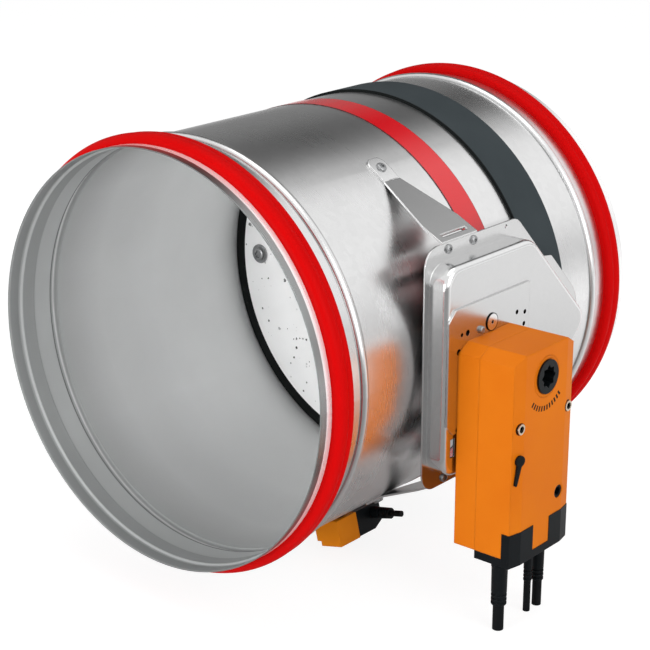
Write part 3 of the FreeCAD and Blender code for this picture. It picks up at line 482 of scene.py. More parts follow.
def build_edges():
    """A normal that rounds every edge by a radius, and a patchy mask that is 1 on the edges."""
    group, given, result = start_group(
        "wear_and_sheen_edges",
        [("Vector", VECTOR, None), ("Radius", NUMBER, 0.0006)],
        [("Normal", VECTOR), ("Mask", NUMBER)],
    )
    bevel = add_node(group, "Bevel", (("Radius", given.outputs["Radius"]),), samples=EDGE_SAMPLES)
    surface = add_node(group, "NewGeometry")
    turn = vector_measure(group, "DOT_PRODUCT", bevel.outputs["Normal"], surface.outputs["Normal"])
    edge = spread_value(group, turn, *EDGE_TURN)
    wear_and_sheen_noise = noise(group, given.outputs["Vector"], Scale=WEAR_AND_SHEEN_SCALE, Detail=4.0)
    patchy = spread_value(group, wear_and_sheen_noise.outputs["Fac"], *WEAR_AND_SHEEN_RANGE)
    group.links.new(bevel.outputs["Normal"], result.inputs["Normal"])
    group.links.new(work_out(group, "MULTIPLY", edge, patchy), result.inputs["Mask"])
    return group


EDGES = build_edges()
print("made", EDGES.name)

# %% [markdown]
# ## Finishes
# A finish starts from a material whose pattern is fixed to the object's own coordinates. Colours are
# written as they look on a screen and turned into the linear light that a shader works with.

# %% Define the parts of a finish


def paint(code):
    """The linear colour of a screen colour such as D87410."""
    channels = [int(code[i:i + 2], 16) / 255 for i in (0, 2, 4)]
    linear = [c / 12.92 if c <= 0.04045 else ((c + 0.055) / 1.055) ** 2.4 for c in channels]
    return (*linear, 1.0)


def start_finish(name):
    """A new material. Returns it with its node tree, its shader and its object coordinates."""
    material = bpy.data.materials.new(name)
    material.use_nodes = True
    tree = material.node_tree
    return material, tree, tree.nodes["Principled BSDF"], add_node(tree, "TexCoord").outputs["Object"]


def coordinates_of(material):
    """The node that gives a finish its coordinates."""
    return next(n for n in material.node_tree.nodes if n.bl_idname == "ShaderNodeTexCoord")


def shade_colour(material, mask, code):
    """Mixes a colour over a material's own where the mask is 1."""
    tree = material.node_tree
    base = tree.nodes["Principled BSDF"].inputs["Base Color"]
    tree.links.new(mix_colours(tree, mask, base.links[0].from_socket, paint(code)), base)


def put(tree, group, place, **values):
    """Places a group that reads the given coordinates, with its own values."""
    return add_node(tree, "Group", (("Vector", place), *values.items()), node_tree=group)


def put_patches(tree, place, scale, dark, light, smooth, rough):
    """Places slow patches between two screen colours and two roughnesses."""
    dark, light = paint(dark), paint(light)
    return put(tree, PATCHES, place, Scale=scale, Dark=dark, Light=light, Smooth=smooth, Rough=rough)


def raise_bumps(tree, shader, height_of_bumps, depth, normal=None):
    """Feeds a height in metres to the shader's normal, on top of another normal."""
    bump = add_node(tree, "Bump", (("Distance", depth), ("Height", height_of_bumps)))
    if normal is not None:
        tree.links.new(normal, bump.inputs["Normal"])
    tree.links.new(bump.outputs["Normal"], shader.inputs["Normal"])


FINISHES = {}


def copy_finish(slot_name, name):
    """A copy of a finish. Returns it with its node tree and the node that gives its coordinates."""
    material = FINISHES[slot_name].copy()
    material.name = name
    return material, material.node_tree, coordinates_of(material)


print("helpers for finishes are ready")

# %% [markdown]
# Bare sheet is all reflection, so its roughness matters more than its colour. Rolled lines change the
# roughness a little from place to place, and crystals the brightness, as on real sheet.

# %% Make the steels
STEEL_PATCHES = 5.0
LINE_ROUGHNESS = 0.012
LINE_DEPTH = 0.0000003
STEELS = (
    ("galvanised_sheet", "E4E4E4", "ECECEC", 0.25, 0.30, (5.0, 240.0, 5.0), 150.0, 0.04, 0.0004),
    ("plated_steel", "E6E6E6", "F0F0F0", 0.17, 0.23, (5.0, 5.0, 300.0), 420.0, 0.03, 0.0009),
    ("bright_steel", "C4C5C6", "DADADA", 0.16, 0.24, (90.0, 90.0, 90.0), 700.0, 0.05, 0.0004),
    ("dull_steel", "98999A", "B2B3B4", 0.38, 0.50, (60.0, 60.0, 60.0), 800.0, 0.14, 0.0004),
    ("bearing_bronze", "A8854F", "C49C62", 0.34, 0.46, (60.0, 60.0, 60.0), 900.0, 0.12, 0.0003),
)


def make_steel(name, dark, light, smooth, rough, stretch, crystals, crystal_share, edge_radius):
    """A bare metal with rolling lines, crystals and rounded edges."""
    material, tree, shader, place = start_finish(name)
    tone = put_patches(tree, place, STEEL_PATCHES, dark, light, smooth, rough)
    sheet = put(tree, SHEET, place, Stretch=stretch, Crystals=crystals)
    crystal = spread_value(tree, sheet.outputs["Crystal"], 0.0, 1.0, 1.0 - crystal_share, 1.0)
    edges = put(tree, EDGES, place, Radius=edge_radius)
    colour = mix_colours(tree, 1.0, tone.outputs["Color"], crystal, "MULTIPLY")
    tree.links.new(colour, shader.inputs["Base Color"])
    lines = spread_value(tree, sheet.outputs["Lines"], *NOISE_RANGE, -LINE_ROUGHNESS / 2, LINE_ROUGHNESS / 2)
    tree.links.new(work_out(tree, "ADD", tone.outputs["Roughness"], lines), shader.inputs["Roughness"])
    shader.inputs["Metallic"].default_value = 1.0
    raise_bumps(tree, shader, sheet.outputs["Lines"], LINE_DEPTH, edges.outputs["Normal"])
    return material


for row in STEELS:
    FINISHES[row[0]] = make_steel(*row)
print("steels", [row[0] for row in STEELS])

# %% [markdown]
# The inside of the casing is duller than the outside: the zinc there has gone matt and pale, and nothing
# polishes it. Both faces are one sheet and one node, so the finish asks which way a point faces. On the
# outside the normal points away from the duct's axis, and on the inside towards it. The tone also follows
# the distance from the nearest open end. The rolls that formed the lip, the groove and the bead have
# burnished them, and painted shade and painted highlight lines lie on them too. Deeper in, painted light
# makes the inside paler.

# %% Say how the casing's tone changes along it
TONE_REACH = 0.200
# Inside: painted shade and painted highlight lines on the burnish at the lip, the groove and the bead, and
# painted light that makes the inside paler further in.
INSIDE_TONES = (
    (0.0, "C8CACA"),
    (2.5, "9A9C9C"),
    (11.5, "929494"),
    (13.5, "BEC0C0"),
    (16.0, "BEC0C0"),
    (17.5, "A2A4A4"),
    (31.0, "A4A6A6"),
    (34.0, "C2C4C4"),
    (52.2, "C6C8C8"),
    (53.2, "5C5E5E"),
    (54.4, "9A9C9C"),
    (55.7, "FFFFFF"),
    (57.2, "B8BABA"),
    (58.6, "C6C8C8"),
    (59.7, "FFFFFF"),
    (61.2, "A4A6A6"),
    (64.0, "BEC0C0"),
    (78.0, "C6C7C7"),
    (120.0, "E2E3E3"),
    (200.0, "F0F1F1"),
)
# Outside: painted shade lines at the two edges of the bead.
OUTSIDE_TONES = (
    (0.0, "FFFFFF"),
    (52.2, "FFFFFF"),
    (53.2, "6A6C6C"),
    (54.4, "FFFFFF"),
    (62.4, "FFFFFF"),
    (63.6, "747676"),
    (65.0, "FFFFFF"),
    (200.0, "FFFFFF"),
)
# A grey strip runs round the outside of the near open end only.
NEAR_GREY_STRIP_WIDTH = 0.0075
NEAR_GREY_STRIP_TONE = "9EA1A1"
# Painted highlight: within LAND_WIDTH of either open end the outside turns white and less metallic, except on
# the grey strip.
LAND_WIDTH = 0.0150
LAND_HIGHLIGHT_METAL = 0.55
# Painted shade: the inside of the casing darkens towards its top and bottom.
INSIDE_TALL = (0.12, 0.20)
INSIDE_SHADE = 0.80
SHADOW_MARGIN = 0.012
SHADOW_SOFT = 0.02
SHADOW_TONE = "2C2C2C"
SIDE_SOFT = 0.01


def tones_along(tree, from_end, tones):
    """A colour that follows the distance from the nearest open end, given in millimetres and colours."""
    share = work_out(tree, "DIVIDE", from_end, TONE_REACH)
    return colour_ramp(tree, share, [(mm / 1000 / TONE_REACH, paint(code)) for mm, code in tones])


print("tones", len(INSIDE_TONES), "inside and", len(OUTSIDE_TONES), "outside")

# %% Tell the casing's faces apart
FACING_OUT = 0.1
FACING_IN = -0.3


def inward_share(tree, place_node, across, centre):
    """1 where a surface faces an axis through the centre, 0 where it faces away from it."""
    from_centre = vector_step(tree, "SUBTRACT", place_node.outputs["Object"], centre)
    outward = vector_step(tree, "NORMALIZE", vector_step(tree, "MULTIPLY", from_centre, across))
    facing = vector_measure(tree, "DOT_PRODUCT", outward, place_node.outputs["Normal"])
    return spread_value(tree, facing, FACING_OUT, FACING_IN)


def within(tree, value, low, high, soft):
    """1 between low and high, 0 outside, with soft edges inside the range."""
    rise = spread_value(tree, value, low, low + soft)
    fall = spread_value(tree, value, high, high - soft)
    return work_out(tree, "MULTIPLY", rise, fall)


def under_console(tree, along):
    """1 on the strip of the casing that the console covers, which lies in deep shadow."""
    low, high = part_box("console")
    across = within(tree, along["Y"], low.y + SHADOW_MARGIN, high.y - SHADOW_MARGIN, SHADOW_SOFT)
    upward = within(tree, along["Z"], low.z + SHADOW_MARGIN, high.z - SHADOW_MARGIN, SHADOW_SOFT)
    on_side = spread_value(tree, along["X"], 0.0, SIDE_SOFT)
    return work_out(tree, "MULTIPLY", work_out(tree, "MULTIPLY", across, upward), on_side)


print("the console's shadow starts", SHADOW_MARGIN, "m inside its rim")

# %% Dull the inside of the casing
INSIDE_METAL = 0.25
INSIDE_ROUGHNESS = 0.55
INSIDE_SPREAD = 0.04
INSIDE_PATCHES = 9.0
NEAR_GREY_STRIP_SOFT = 0.0006
LAND_SOFT = 0.0005


def make_casing_steel():
    """Galvanised sheet that is satin outside and matt inside."""
    material, tree, place_node = copy_finish("galvanised_sheet", "casing_sheet")
    shader = tree.nodes["Principled BSDF"]
    place = place_node.outputs["Object"]
    inward = inward_share(tree, place_node, (1, 0, 1), (0, 0, 0))
    along = split_axes(tree, place)
    middle = (cad_low.y + cad_high.y) / 2
    from_middle = work_out(tree, "ABSOLUTE", work_out(tree, "SUBTRACT", along["Y"], middle))
    from_end = work_out(tree, "SUBTRACT", middle - cad_low.y, from_middle)

    smooth, rough = INSIDE_ROUGHNESS - INSIDE_SPREAD, INSIDE_ROUGHNESS + INSIDE_SPREAD
    cloud = put_patches(tree, place, INSIDE_PATCHES, "F6F6F6", "FFFFFF", smooth, rough)
    inside_tone = tones_along(tree, from_end, INSIDE_TONES)
    clouded = mix_colours(tree, 1.0, inside_tone, cloud.outputs["Color"], "MULTIPLY")
    # Painted shade: the inside grows darker towards its top and bottom.
    height = work_out(tree, "ABSOLUTE", along["Z"])
    shade = spread_value(tree, height, *INSIDE_TALL, 1.0, INSIDE_SHADE)
    inside_colour = mix_colours(tree, 1.0, clouded, shade, "MULTIPLY")

    sheet_colour = shader.inputs["Base Color"].links[0].from_socket
    # A grey strip round the outside of the near end only.
    near_grey_strip = spread_value(tree, along["Y"], NEAR_GREY_STRIP_WIDTH + NEAR_GREY_STRIP_SOFT, NEAR_GREY_STRIP_WIDTH)
    near_grey_striped = mix_colours(tree, near_grey_strip, sheet_colour, paint(NEAR_GREY_STRIP_TONE))
    toned = mix_colours(tree, 1.0, near_grey_striped, tones_along(tree, from_end, OUTSIDE_TONES), "MULTIPLY")
    covered = mix_colours(tree, under_console(tree, along), toned, paint(SHADOW_TONE))
    # Painted highlight: a white, less metallic band on the bare land near each open end.
    near_edge = spread_value(tree, from_end, LAND_WIDTH, LAND_WIDTH - LAND_SOFT)
    outward = work_out(tree, "SUBTRACT", 1.0, inward)
    bare = work_out(tree, "MULTIPLY", work_out(tree, "SUBTRACT", 1.0, near_grey_strip), outward)
    land_highlight = work_out(tree, "MULTIPLY", near_edge, bare)
    outside = mix_colours(tree, land_highlight, covered, paint("FFFFFF"))

    tree.links.new(mix_colours(tree, inward, outside, inside_colour), shader.inputs["Base Color"])
    sheet_rough = shader.inputs["Roughness"].links[0].from_socket
    roughness = spread_value(tree, inward, 0.0, 1.0, sheet_rough, cloud.outputs["Roughness"])
    tree.links.new(roughness, shader.inputs["Roughness"])
    inside_metal = spread_value(tree, inward, 0.0, 1.0, 1.0, INSIDE_METAL)
    land_highlight_metal = spread_value(tree, land_highlight, 0.0, 1.0, 1.0, LAND_HIGHLIGHT_METAL)
    tree.links.new(work_out(tree, "MULTIPLY", inside_metal, land_highlight_metal), shader.inputs["Metallic"])
    return material


FINISHES["casing_sheet"] = make_casing_steel()
print("made", FINISHES["casing_sheet"].name)

# %% [markdown]
# Plastics and rubbers keep their own colour, so their reflections are held low. A fine grain from the mould
# softens the highlight, and edges turn a little paler, from rubbed wear and a painted highlight.

# %% Make the plastics and rubbers
MOULDED = (
    ("orange_plastic", "D66E04", "DC760A", "E88A2C", 0.46, 0.56, 0.10, 1100.0, 0.00002, 0.0022),
    # A lighter copy of the orange for the release housing: painted light on a part that sits in the casing's
    # shade.
    ("release_plastic_painted_light", "E8860E", "EE8E16", "F49C38", 0.46, 0.56, 0.10, 1100.0, 0.00002, 0.0016),
    ("black_plastic", "0C1012", "111518", "262A2D", 0.34, 0.44, 0.12, 1300.0, 0.00002, 0.0010),
    ("red_rubber", "C80304", "CC0405", "D40C0E", 0.46, 0.56, 0.04, 700.0, 0.00002, 0.0003),
    ("red_film", "DA101C", "DF1723", "E8404C", 0.13, 0.18, 0.70, 1500.0, 0.00001, 0.0001),
    ("intumescent_band", "343B3E", "3C4346", "4A5255", 0.62, 0.72, 0.12, 500.0, 0.00006, 0.0004),
    ("black_seal", "0D0F0F", "131515", "1D1F1F", 0.60, 0.72, 0.10, 600.0, 0.00004, 0.0003),
    ("lead_jacket", "0D0F10", "131517", "262829", 0.38, 0.48, 0.10, 900.0, 0.00002, 0.0005),
)
WEAR_AND_SHEEN_SHARE = 0.35
MOULD_PATCHES = 14.0


def make_moulded(name, dark, light, wear_and_sheen, smooth, rough, gloss, grain_scale, grain_depth, edge_radius):
    """A moulded or rolled finish with grain, slow patches and paler edges."""
    material, tree, shader, place = start_finish(name)
    tone = put_patches(tree, place, MOULD_PATCHES, dark, light, smooth, rough)
    grain = put(tree, GRAIN, place, Scale=grain_scale)
    edges = put(tree, EDGES, place, Radius=edge_radius)
    # Paler edges: rubbed wear and a painted highlight along them.
    share = work_out(tree, "MULTIPLY", edges.outputs["Mask"], WEAR_AND_SHEEN_SHARE)
    colour = mix_colours(tree, share, tone.outputs["Color"], paint(wear_and_sheen))
    tree.links.new(colour, shader.inputs["Base Color"])
    tree.links.new(tone.outputs["Roughness"], shader.inputs["Roughness"])
    shader.inputs["Specular IOR Level"].default_value = gloss
    raise_bumps(tree, shader, grain.outputs["Height"], grain_depth, edges.outputs["Normal"])
    return material


for row in MOULDED:
    FINISHES[row[0]] = make_moulded(*row)
print("moulded finishes", [row[0] for row in MOULDED])

# %% [markdown]
# Three thin lines of painted shade are drawn by the finishes, each at a fixed place along the duct: along
# the cut edges of the label, and along the near edge of the intumescent band.

# %% Draw the thin lines


def add_stripe(slot_name, centre, half_width, code):
    """Colours a thin stripe of a finish at one place along the duct."""
    finish = FINISHES[slot_name]
    tree = finish.node_tree
    along = split_axes(tree, coordinates_of(finish).outputs["Object"])["Y"]
    away = work_out(tree, "ABSOLUTE", work_out(tree, "SUBTRACT", along, centre))
    shade_colour(finish, spread_value(tree, away, half_width, half_width * 0.5), code)


# Painted shade along the label's cut edges and the intumescent band's near edge.
STRIPES = (
    ("red_film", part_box("label_band")[0].y, 0.0012, "6A0610"),
    ("red_film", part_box("label_band")[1].y, 0.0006, "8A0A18"),
    ("intumescent_band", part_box("outer_seal_band")[0].y, 0.0018, "0E1212"),
)
for stripe in STRIPES:
    add_stripe(*stripe)
print("stripes", len(STRIPES))

# %% [markdown]
# The blade is a pressed mineral board. Its face is nearly white, with fine dark specks and a few larger
# ragged ones. Each Voronoi cell holds one speck, and the cell's random colour sets how large it is: most
# cells come out below zero and stay empty. A little noise in the coordinates makes the specks ragged, and a
# slow noise keeps them off parts of the board.

# %% Make the speckled board
BOARD_WHITE = "FFFFFF"
BOARD_SMUDGE = "F7F7F7"
BOARD_PATCHES = 22.0
BOARD_ROUGHNESS = (0.6, 0.75)
BOARD_GLOSS = 0.2
BOARD_GRAIN = 500.0
BOARD_GRAIN_DEPTH = 0.00004
SPECK_BLACK = "1C1D1D"
SPECK_DRIFT = 28.0
DRIFT_RANGE = (0.42, 0.56)
SPECK_SOFT = 0.02
RAGGED_FINER = 3.0
SPECK_ROWS = (
    (220.0, 0.32, 0.80, 0.0012),
    (120.0, 0.27, 1.30, 0.0030),
    (50.0, 0.22, 0.70, 0.0090),
)


def speck_mask(tree, place, cells_per_m, reach, rare, ragged_by):
    """1 inside the specks of one size. A larger rare value leaves more cells empty."""
    ragged = noise(tree, place, Scale=cells_per_m * RAGGED_FINER)
    shift_inputs = ((0, ragged.outputs["Color"]), (1, (ragged_by, ragged_by, ragged_by)), (2, place))
    shifted = add_node(tree, "VectorMath", shift_inputs, operation="MULTIPLY_ADD").outputs["Vector"]
    cells = add_node(tree, "TexVoronoi", (("Vector", shifted), ("Scale", cells_per_m)))
    random = add_node(tree, "SeparateColor", (("Color", cells.outputs["Color"]),))
    size = spread_value(tree, random.outputs["Red"], 0.0, 1.0, -rare, reach)
    inside = work_out(tree, "SUBTRACT", size, cells.outputs["Distance"])
    drift = noise(tree, place, Scale=SPECK_DRIFT)
    here = spread_value(tree, drift.outputs["Fac"], *DRIFT_RANGE)
    return work_out(tree, "MULTIPLY", spread_value(tree, inside, 0.0, SPECK_SOFT), here)


def make_board():
    """White mineral board with faint smudges and specks of three sizes."""
    material, tree, shader, place = start_finish("blade_board")
    tone = put_patches(tree, place, BOARD_PATCHES, BOARD_SMUDGE, BOARD_WHITE, *BOARD_ROUGHNESS)
    colour = tone.outputs["Color"]
    for row in SPECK_ROWS:
        colour = mix_colours(tree, speck_mask(tree, place, *row), colour, paint(SPECK_BLACK))
    tree.links.new(colour, shader.inputs["Base Color"])
    tree.links.new(tone.outputs["Roughness"], shader.inputs["Roughness"])
    shader.inputs["Specular IOR Level"].default_value = BOARD_GLOSS
    grain = put(tree, GRAIN, place, Scale=BOARD_GRAIN)
    raise_bumps(tree, shader, grain.outputs["Height"], BOARD_GRAIN_DEPTH)
    return material


FINISHES["blade_board"] = make_board()
print("finishes", len(FINISHES))

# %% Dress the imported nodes
SLOT_OF = {part["node"]: part["material_slot"] for part in frame["record"]["subparts"]}

for node_name, node in nodes.items():
    node.data.materials.clear()
    node.data.materials.append(FINISHES[SLOT_OF[node_name]])
nodes["casing"].data.materials[0] = FINISHES["casing_sheet"]
for node_name in ("locating_pin", "drive_spindle"):
    nodes[node_name].data.materials[0] = FINISHES["dull_steel"]
print("dressed", len(SLOT_OF), "nodes")

# %% [markdown]
# Several small round marks of painted shade lie in planes across X: in holes, in a groove and round the
# eyelets.
# A finish finds them by the distance from an axis along X.

# %% Define round marks


def across_x(tree, place):
    """The object coordinates with X taken out."""
    return vector_step(tree, "MULTIPLY", place, (0, 1, 1))


def disc_mask(tree, flat, y, z, radius, soft):
    """1 within a radius of an axis along X, and 0 beyond it."""
    return spread_value(tree, vector_measure(tree, "DISTANCE", flat, (0, y, z)), radius + soft, radius)


print("round marks are ready")

# %% [markdown]
# The plate and the console behind it share spare holes for other actuators. Little light reaches the space
# behind them, so the hole walls, a thin ring round each hole and the console's inner faces are painted as
# deep shadow.

# %% Put the inside of the console in shadow
DRIVE_Y = middle_of("output_bush").y
SPARE_HOLES = (
    (-42.4, 35.9, 1.6),
    (-33.6, 35.7, 2.6),
    (-46.6, 20.8, 2.6),
    (-44.0, -42.0, 1.2),
    (-46.5, -54.0, 2.0),
    (44.0, 35.6, 2.0),
    (57.0, 32.8, 2.0),
    (56.0, 21.4, 2.0),
)
HOLE_SHADE_MARGIN = 0.0002
DEEP_SHADOW = "161414"

console_steel, console_tree, console_place = copy_finish("plated_steel", "console_steel")
onto_plate = across_x(console_tree, console_place.outputs["Object"])
shadow = inward_share(console_tree, console_place, (0, 1, 1), middle_of("console"))
# Painted shade: each spare hole and a thin ring round it on the face.
for hole_y, hole_z, hole_r in SPARE_HOLES:
    mark = (DRIVE_Y + hole_y / 1000, hole_z / 1000, hole_r / 1000 + HOLE_SHADE_MARGIN)
    hole = disc_mask(console_tree, onto_plate, *mark, HOLE_SHADE_MARGIN)
    shadow = work_out(console_tree, "MAXIMUM", shadow, hole)
shade_colour(console_steel, shadow, DEEP_SHADOW)
for node_name in ("console", "actuator_plate"):
    nodes[node_name].data.materials[0] = console_steel
print("shaded holes", len(SPARE_HOLES))

# %% [markdown]
# The two eyelets are open tubes through the actuator. Their lips are bright and their bores are in deep
# shadow, so below the lip the finish turns dark and stops being metal.

# %% Darken the eyelets' bores
LIP_DEPTH = 0.0012
LIP_COLOUR = "D8C8B4"
LIP_GRAIN = 600.0
LIP_ROUGHNESS = (0.2, 0.35)
BORE_DARK = "0A0A0A"

eyelets, eyelet_tree, eyelet_shader, eyelet_place = start_finish("eyelet_steel")
lip_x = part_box("housing_eyelets")[1].x - LIP_DEPTH
across = split_axes(eyelet_tree, eyelet_place)["X"]
lip = spread_value(eyelet_tree, across, lip_x - LIP_DEPTH / 2, lip_x)
grain = put(eyelet_tree, GRAIN, eyelet_place, Scale=LIP_GRAIN)
eyelet_rough = spread_value(eyelet_tree, grain.outputs["Height"], *NOISE_RANGE, *LIP_ROUGHNESS)
eyelet_colour = mix_colours(eyelet_tree, lip, paint(BORE_DARK), paint(LIP_COLOUR))
eyelet_tree.links.new(eyelet_colour, eyelet_shader.inputs["Base Color"])
eyelet_tree.links.new(lip, eyelet_shader.inputs["Metallic"])
eyelet_tree.links.new(eyelet_rough, eyelet_shader.inputs["Roughness"])
nodes["housing_eyelets"].data.materials[0] = eyelets
print("lips end at x", round(lip_x, 4))

# %% [markdown]
# ## Fine pieces
# Small fasteners and cable boots catch the eye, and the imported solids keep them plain. Each kind is
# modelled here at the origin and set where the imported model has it.

# %% Define how a piece is finished
SMOOTH_UNDER = math.radians(35)


def finish_piece(name, form, slot_name, body, *replaced, look=None):
    """A piece that rides on a body and stands for the named nodes. A look is a finish unlike its slot's."""
    mesh = mesh_of(name, form)
    mesh.shade_smooth()
    mesh.set_sharp_from_angle(angle=SMOOTH_UNDER)
    mesh.materials.append(FINISHES[look or slot_name])
    piece = bpy.data.objects.new(name, mesh)
    scene_root.link(piece)
    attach(piece, body)
    if replaced:
        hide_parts(*replaced)
    print(name, len(mesh.polygons), "faces")
    return piece


def add_copies(form, pattern, places):
    """Adds one copy of a pattern mesh to a form for each matrix."""
    for place in places:
        before = set(form.verts)
        form.from_mesh(pattern)
        added = [v for v in form.verts if v not in before]
        bmesh.ops.transform(form, matrix=place, verts=added)


print("pieces are smooth under", round(math.degrees(SMOOTH_UNDER)), "degrees")

# %% [markdown]
# A fastener's head is a set of rings round one axis. It starts as the floor of the star recess, and each
# extrusion of its rim makes the next ring: up the recess wall, out over the dome and down to the seat.

# %% Model a fastener with a star recess
RING_STEPS = 48
STAR_LOBES = 6
STAR_DEPTH = 0.16


def shape_ring(verts, radius, level, lobes):
    """Moves a ring of points to a radius and level. Lobes pull it in six times round."""
    for vert in verts:
        angle = math.atan2(vert.co.y, vert.co.x)
        reach = radius * (1.0 - lobes * (0.5 - 0.5 * math.cos(STAR_LOBES * angle)))
        vert.co = (reach * math.cos(angle), reach * math.sin(angle), level)


def next_ring(form, edges, radius, level, lobes=0.0):
    """Extrudes a ring of edges to a new radius and level, with lobes or without."""
    made = bmesh.ops.extrude_edge_only(form, edges=edges)["geom"]
    fresh = {g for g in made if isinstance(g, bmesh.types.BMVert)}
    shape_ring(fresh, radius, level, lobes)
    return [g for g in made if isinstance(g, bmesh.types.BMEdge) and set(g.verts) <= fresh]


def star_fastener(recess_r, recess_floor, rings):
    """A closed form from its recess floor through rings of (radius, level) to its tail."""
    form = bmesh.new()
    bmesh.ops.create_circle(form, cap_ends=True, radius=recess_r, segments=RING_STEPS)
    shape_ring(form.verts, recess_r, recess_floor, STAR_DEPTH)
    top = rings[0][1]
    rim = next_ring(form, list(form.edges), recess_r, top, STAR_DEPTH)
    for radius, level in rings:
        rim = next_ring(form, rim, radius, level)
    bmesh.ops.contextual_create(form, geom=rim)
    bmesh.ops.recalc_face_normals(form, faces=form.faces)
    return form


print("ring steps", RING_STEPS)

# %% Model the small button-head screws
SCREW_SHANK_R = 0.0021
SCREW_REACH = 0.0065
RIM_HEAD_R = 0.0044
FOOT_HEAD_R = 0.0052
HEAD_HEIGHT = 0.0026


def button_head(head_r, reach):
    """A button-head screw that points along +Z, with its seat at the origin."""
    rings = (
        (head_r * 0.52, HEAD_HEIGHT),
        (head_r * 0.70, HEAD_HEIGHT * 0.95),
        (head_r * 0.85, HEAD_HEIGHT * 0.78),
        (head_r * 0.95, HEAD_HEIGHT * 0.52),
        (head_r * 0.995, HEAD_HEIGHT * 0.22),
        (head_r * 0.98, 0.0),
        (SCREW_SHANK_R, 0.0),
        (SCREW_SHANK_R, -reach),
    )
    return star_fastener(head_r * 0.44, HEAD_HEIGHT * 0.42, rings)


rim_low, rim_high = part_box("rim_screws")
rim_seat = rim_high.x - HEAD_HEIGHT
along_x = Matrix.Rotation(math.pi / 2, 4, "Y")
rim_places = [
    Matrix.Translation((rim_seat, y, z)) @ along_x
    for y in (rim_low.y + RIM_HEAD_R, rim_high.y - RIM_HEAD_R)
    for z in (rim_low.z + RIM_HEAD_R, rim_high.z - RIM_HEAD_R)
]
rim_form = bmesh.new()
rim_pattern = mesh_of("rim_screw_pattern", button_head(RIM_HEAD_R, SCREW_REACH))
add_copies(rim_form, rim_pattern, rim_places)
finish_piece("rim_screw_heads", rim_form, "bright_steel", "casing_body", "rim_screws", look="dull_steel")

# %% Set the foot screws on the struts
FOOT_TURN = math.radians(55.4)
FOOT_SEAT_R = 0.2015
FOOT_REACH = 0.006

foot_row = Matrix.Translation((0, middle_of("foot_screws").y, 0))
foot_seat = Matrix.Translation((0, 0, FOOT_SEAT_R))
foot_places = [
    foot_row @ Matrix.Rotation(math.pi / 2 - side * FOOT_TURN, 4, "Y") @ foot_seat
    for side in (1, -1)
]
foot_form = bmesh.new()
foot_pattern = mesh_of("foot_screw_pattern", button_head(FOOT_HEAD_R, FOOT_REACH))
add_copies(foot_form, foot_pattern, foot_places)
finish_piece("foot_screw_heads", foot_form, "bright_steel", "casing_body", "foot_screws", look="dull_steel")

# %% [markdown]
# The blade's two clamp bolts have broad washers on both faces of the board, and the bolt is made of two
# halves that meet in the middle of the board.

# %% Model the blade bolts
WASHER_R = 0.0105
WASHER_THICK = 0.0016
BOLT_HEAD_R = 0.0070
BOLT_HEAD_HEIGHT = 0.0030
BOLT_SHANK_R = 0.0040
BOLT_RECESS_R = 0.0040
BOLT_RECESS_DEPTH = 0.0016
EDGE_ROUND = 0.0003

board_y = middle_of("blade_board").y
board_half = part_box("blade_board")[1].y - board_y
bolt_top = WASHER_THICK + BOLT_HEAD_HEIGHT
bolt_rings = (
    (BOLT_HEAD_R * 0.62, bolt_top),
    (BOLT_HEAD_R - 3 * EDGE_ROUND, bolt_top),
    (BOLT_HEAD_R, bolt_top - 2 * EDGE_ROUND),
    (BOLT_HEAD_R, WASHER_THICK),
    (WASHER_R - EDGE_ROUND, WASHER_THICK),
    (WASHER_R, WASHER_THICK - EDGE_ROUND),
    (WASHER_R, 0.0),
    (BOLT_SHANK_R, 0.0),
    (BOLT_SHANK_R, -board_half),
)
bolt = star_fastener(BOLT_RECESS_R, bolt_top - BOLT_RECESS_DEPTH, bolt_rings)
bolt_pattern = mesh_of("blade_bolt_pattern", bolt)
bolt_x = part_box("blade_bolts")[1].x - WASHER_R
bolt_places = [
    Matrix.Translation((x, board_y + side * board_half, 0)) @ Matrix.Rotation(-side * math.pi / 2, 4, "X")
    for x in (-bolt_x, bolt_x)
    for side in (1, -1)
]
bolt_form = bmesh.new()
add_copies(bolt_form, bolt_pattern, bolt_places)
finish_piece("blade_clamp_bolts", bolt_form, "plated_steel", "blade", "blade_bolts", look="dull_steel")

# %% [markdown]
# The round plug beside the locating pin sits in a groove and has a dimple, and both are painted as deep
# shadow.

# %% Shade the round plug
PLUG_GROOVE = 0.0009
PLUG_DIMPLE_R = 0.0016
MARK_SOFT = 0.0002

round_plug, plug_tree, plug_place = copy_finish("plated_steel", "round_plug_steel")
plug_at = middle_of("plate_plug").yz
plug_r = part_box("plate_plug")[1].y - plug_at[0]
onto_plug = across_x(plug_tree, plug_place.outputs["Object"])
# Painted shade: the groove round the plug's face and its dimple.
face = disc_mask(plug_tree, onto_plug, *plug_at, plug_r - PLUG_GROOVE, MARK_SOFT)
groove = work_out(plug_tree, "SUBTRACT", 1.0, face)
dimple = disc_mask(plug_tree, onto_plug, *plug_at, PLUG_DIMPLE_R, MARK_SOFT)
shade_colour(round_plug, work_out(plug_tree, "MAXIMUM", groove, dimple), DEEP_SHADOW)
nodes["plate_plug"].data.materials[0] = round_plug
print("plug radius", round(plug_r, 4))

# %% [markdown]
# A thin shadow line runs round each eyelet, where the housing's hole meets the lip.

# %% Shade the housing round the eyelets
EYELET_GAP = 0.0006
EYELET_LINE = "4A2206"

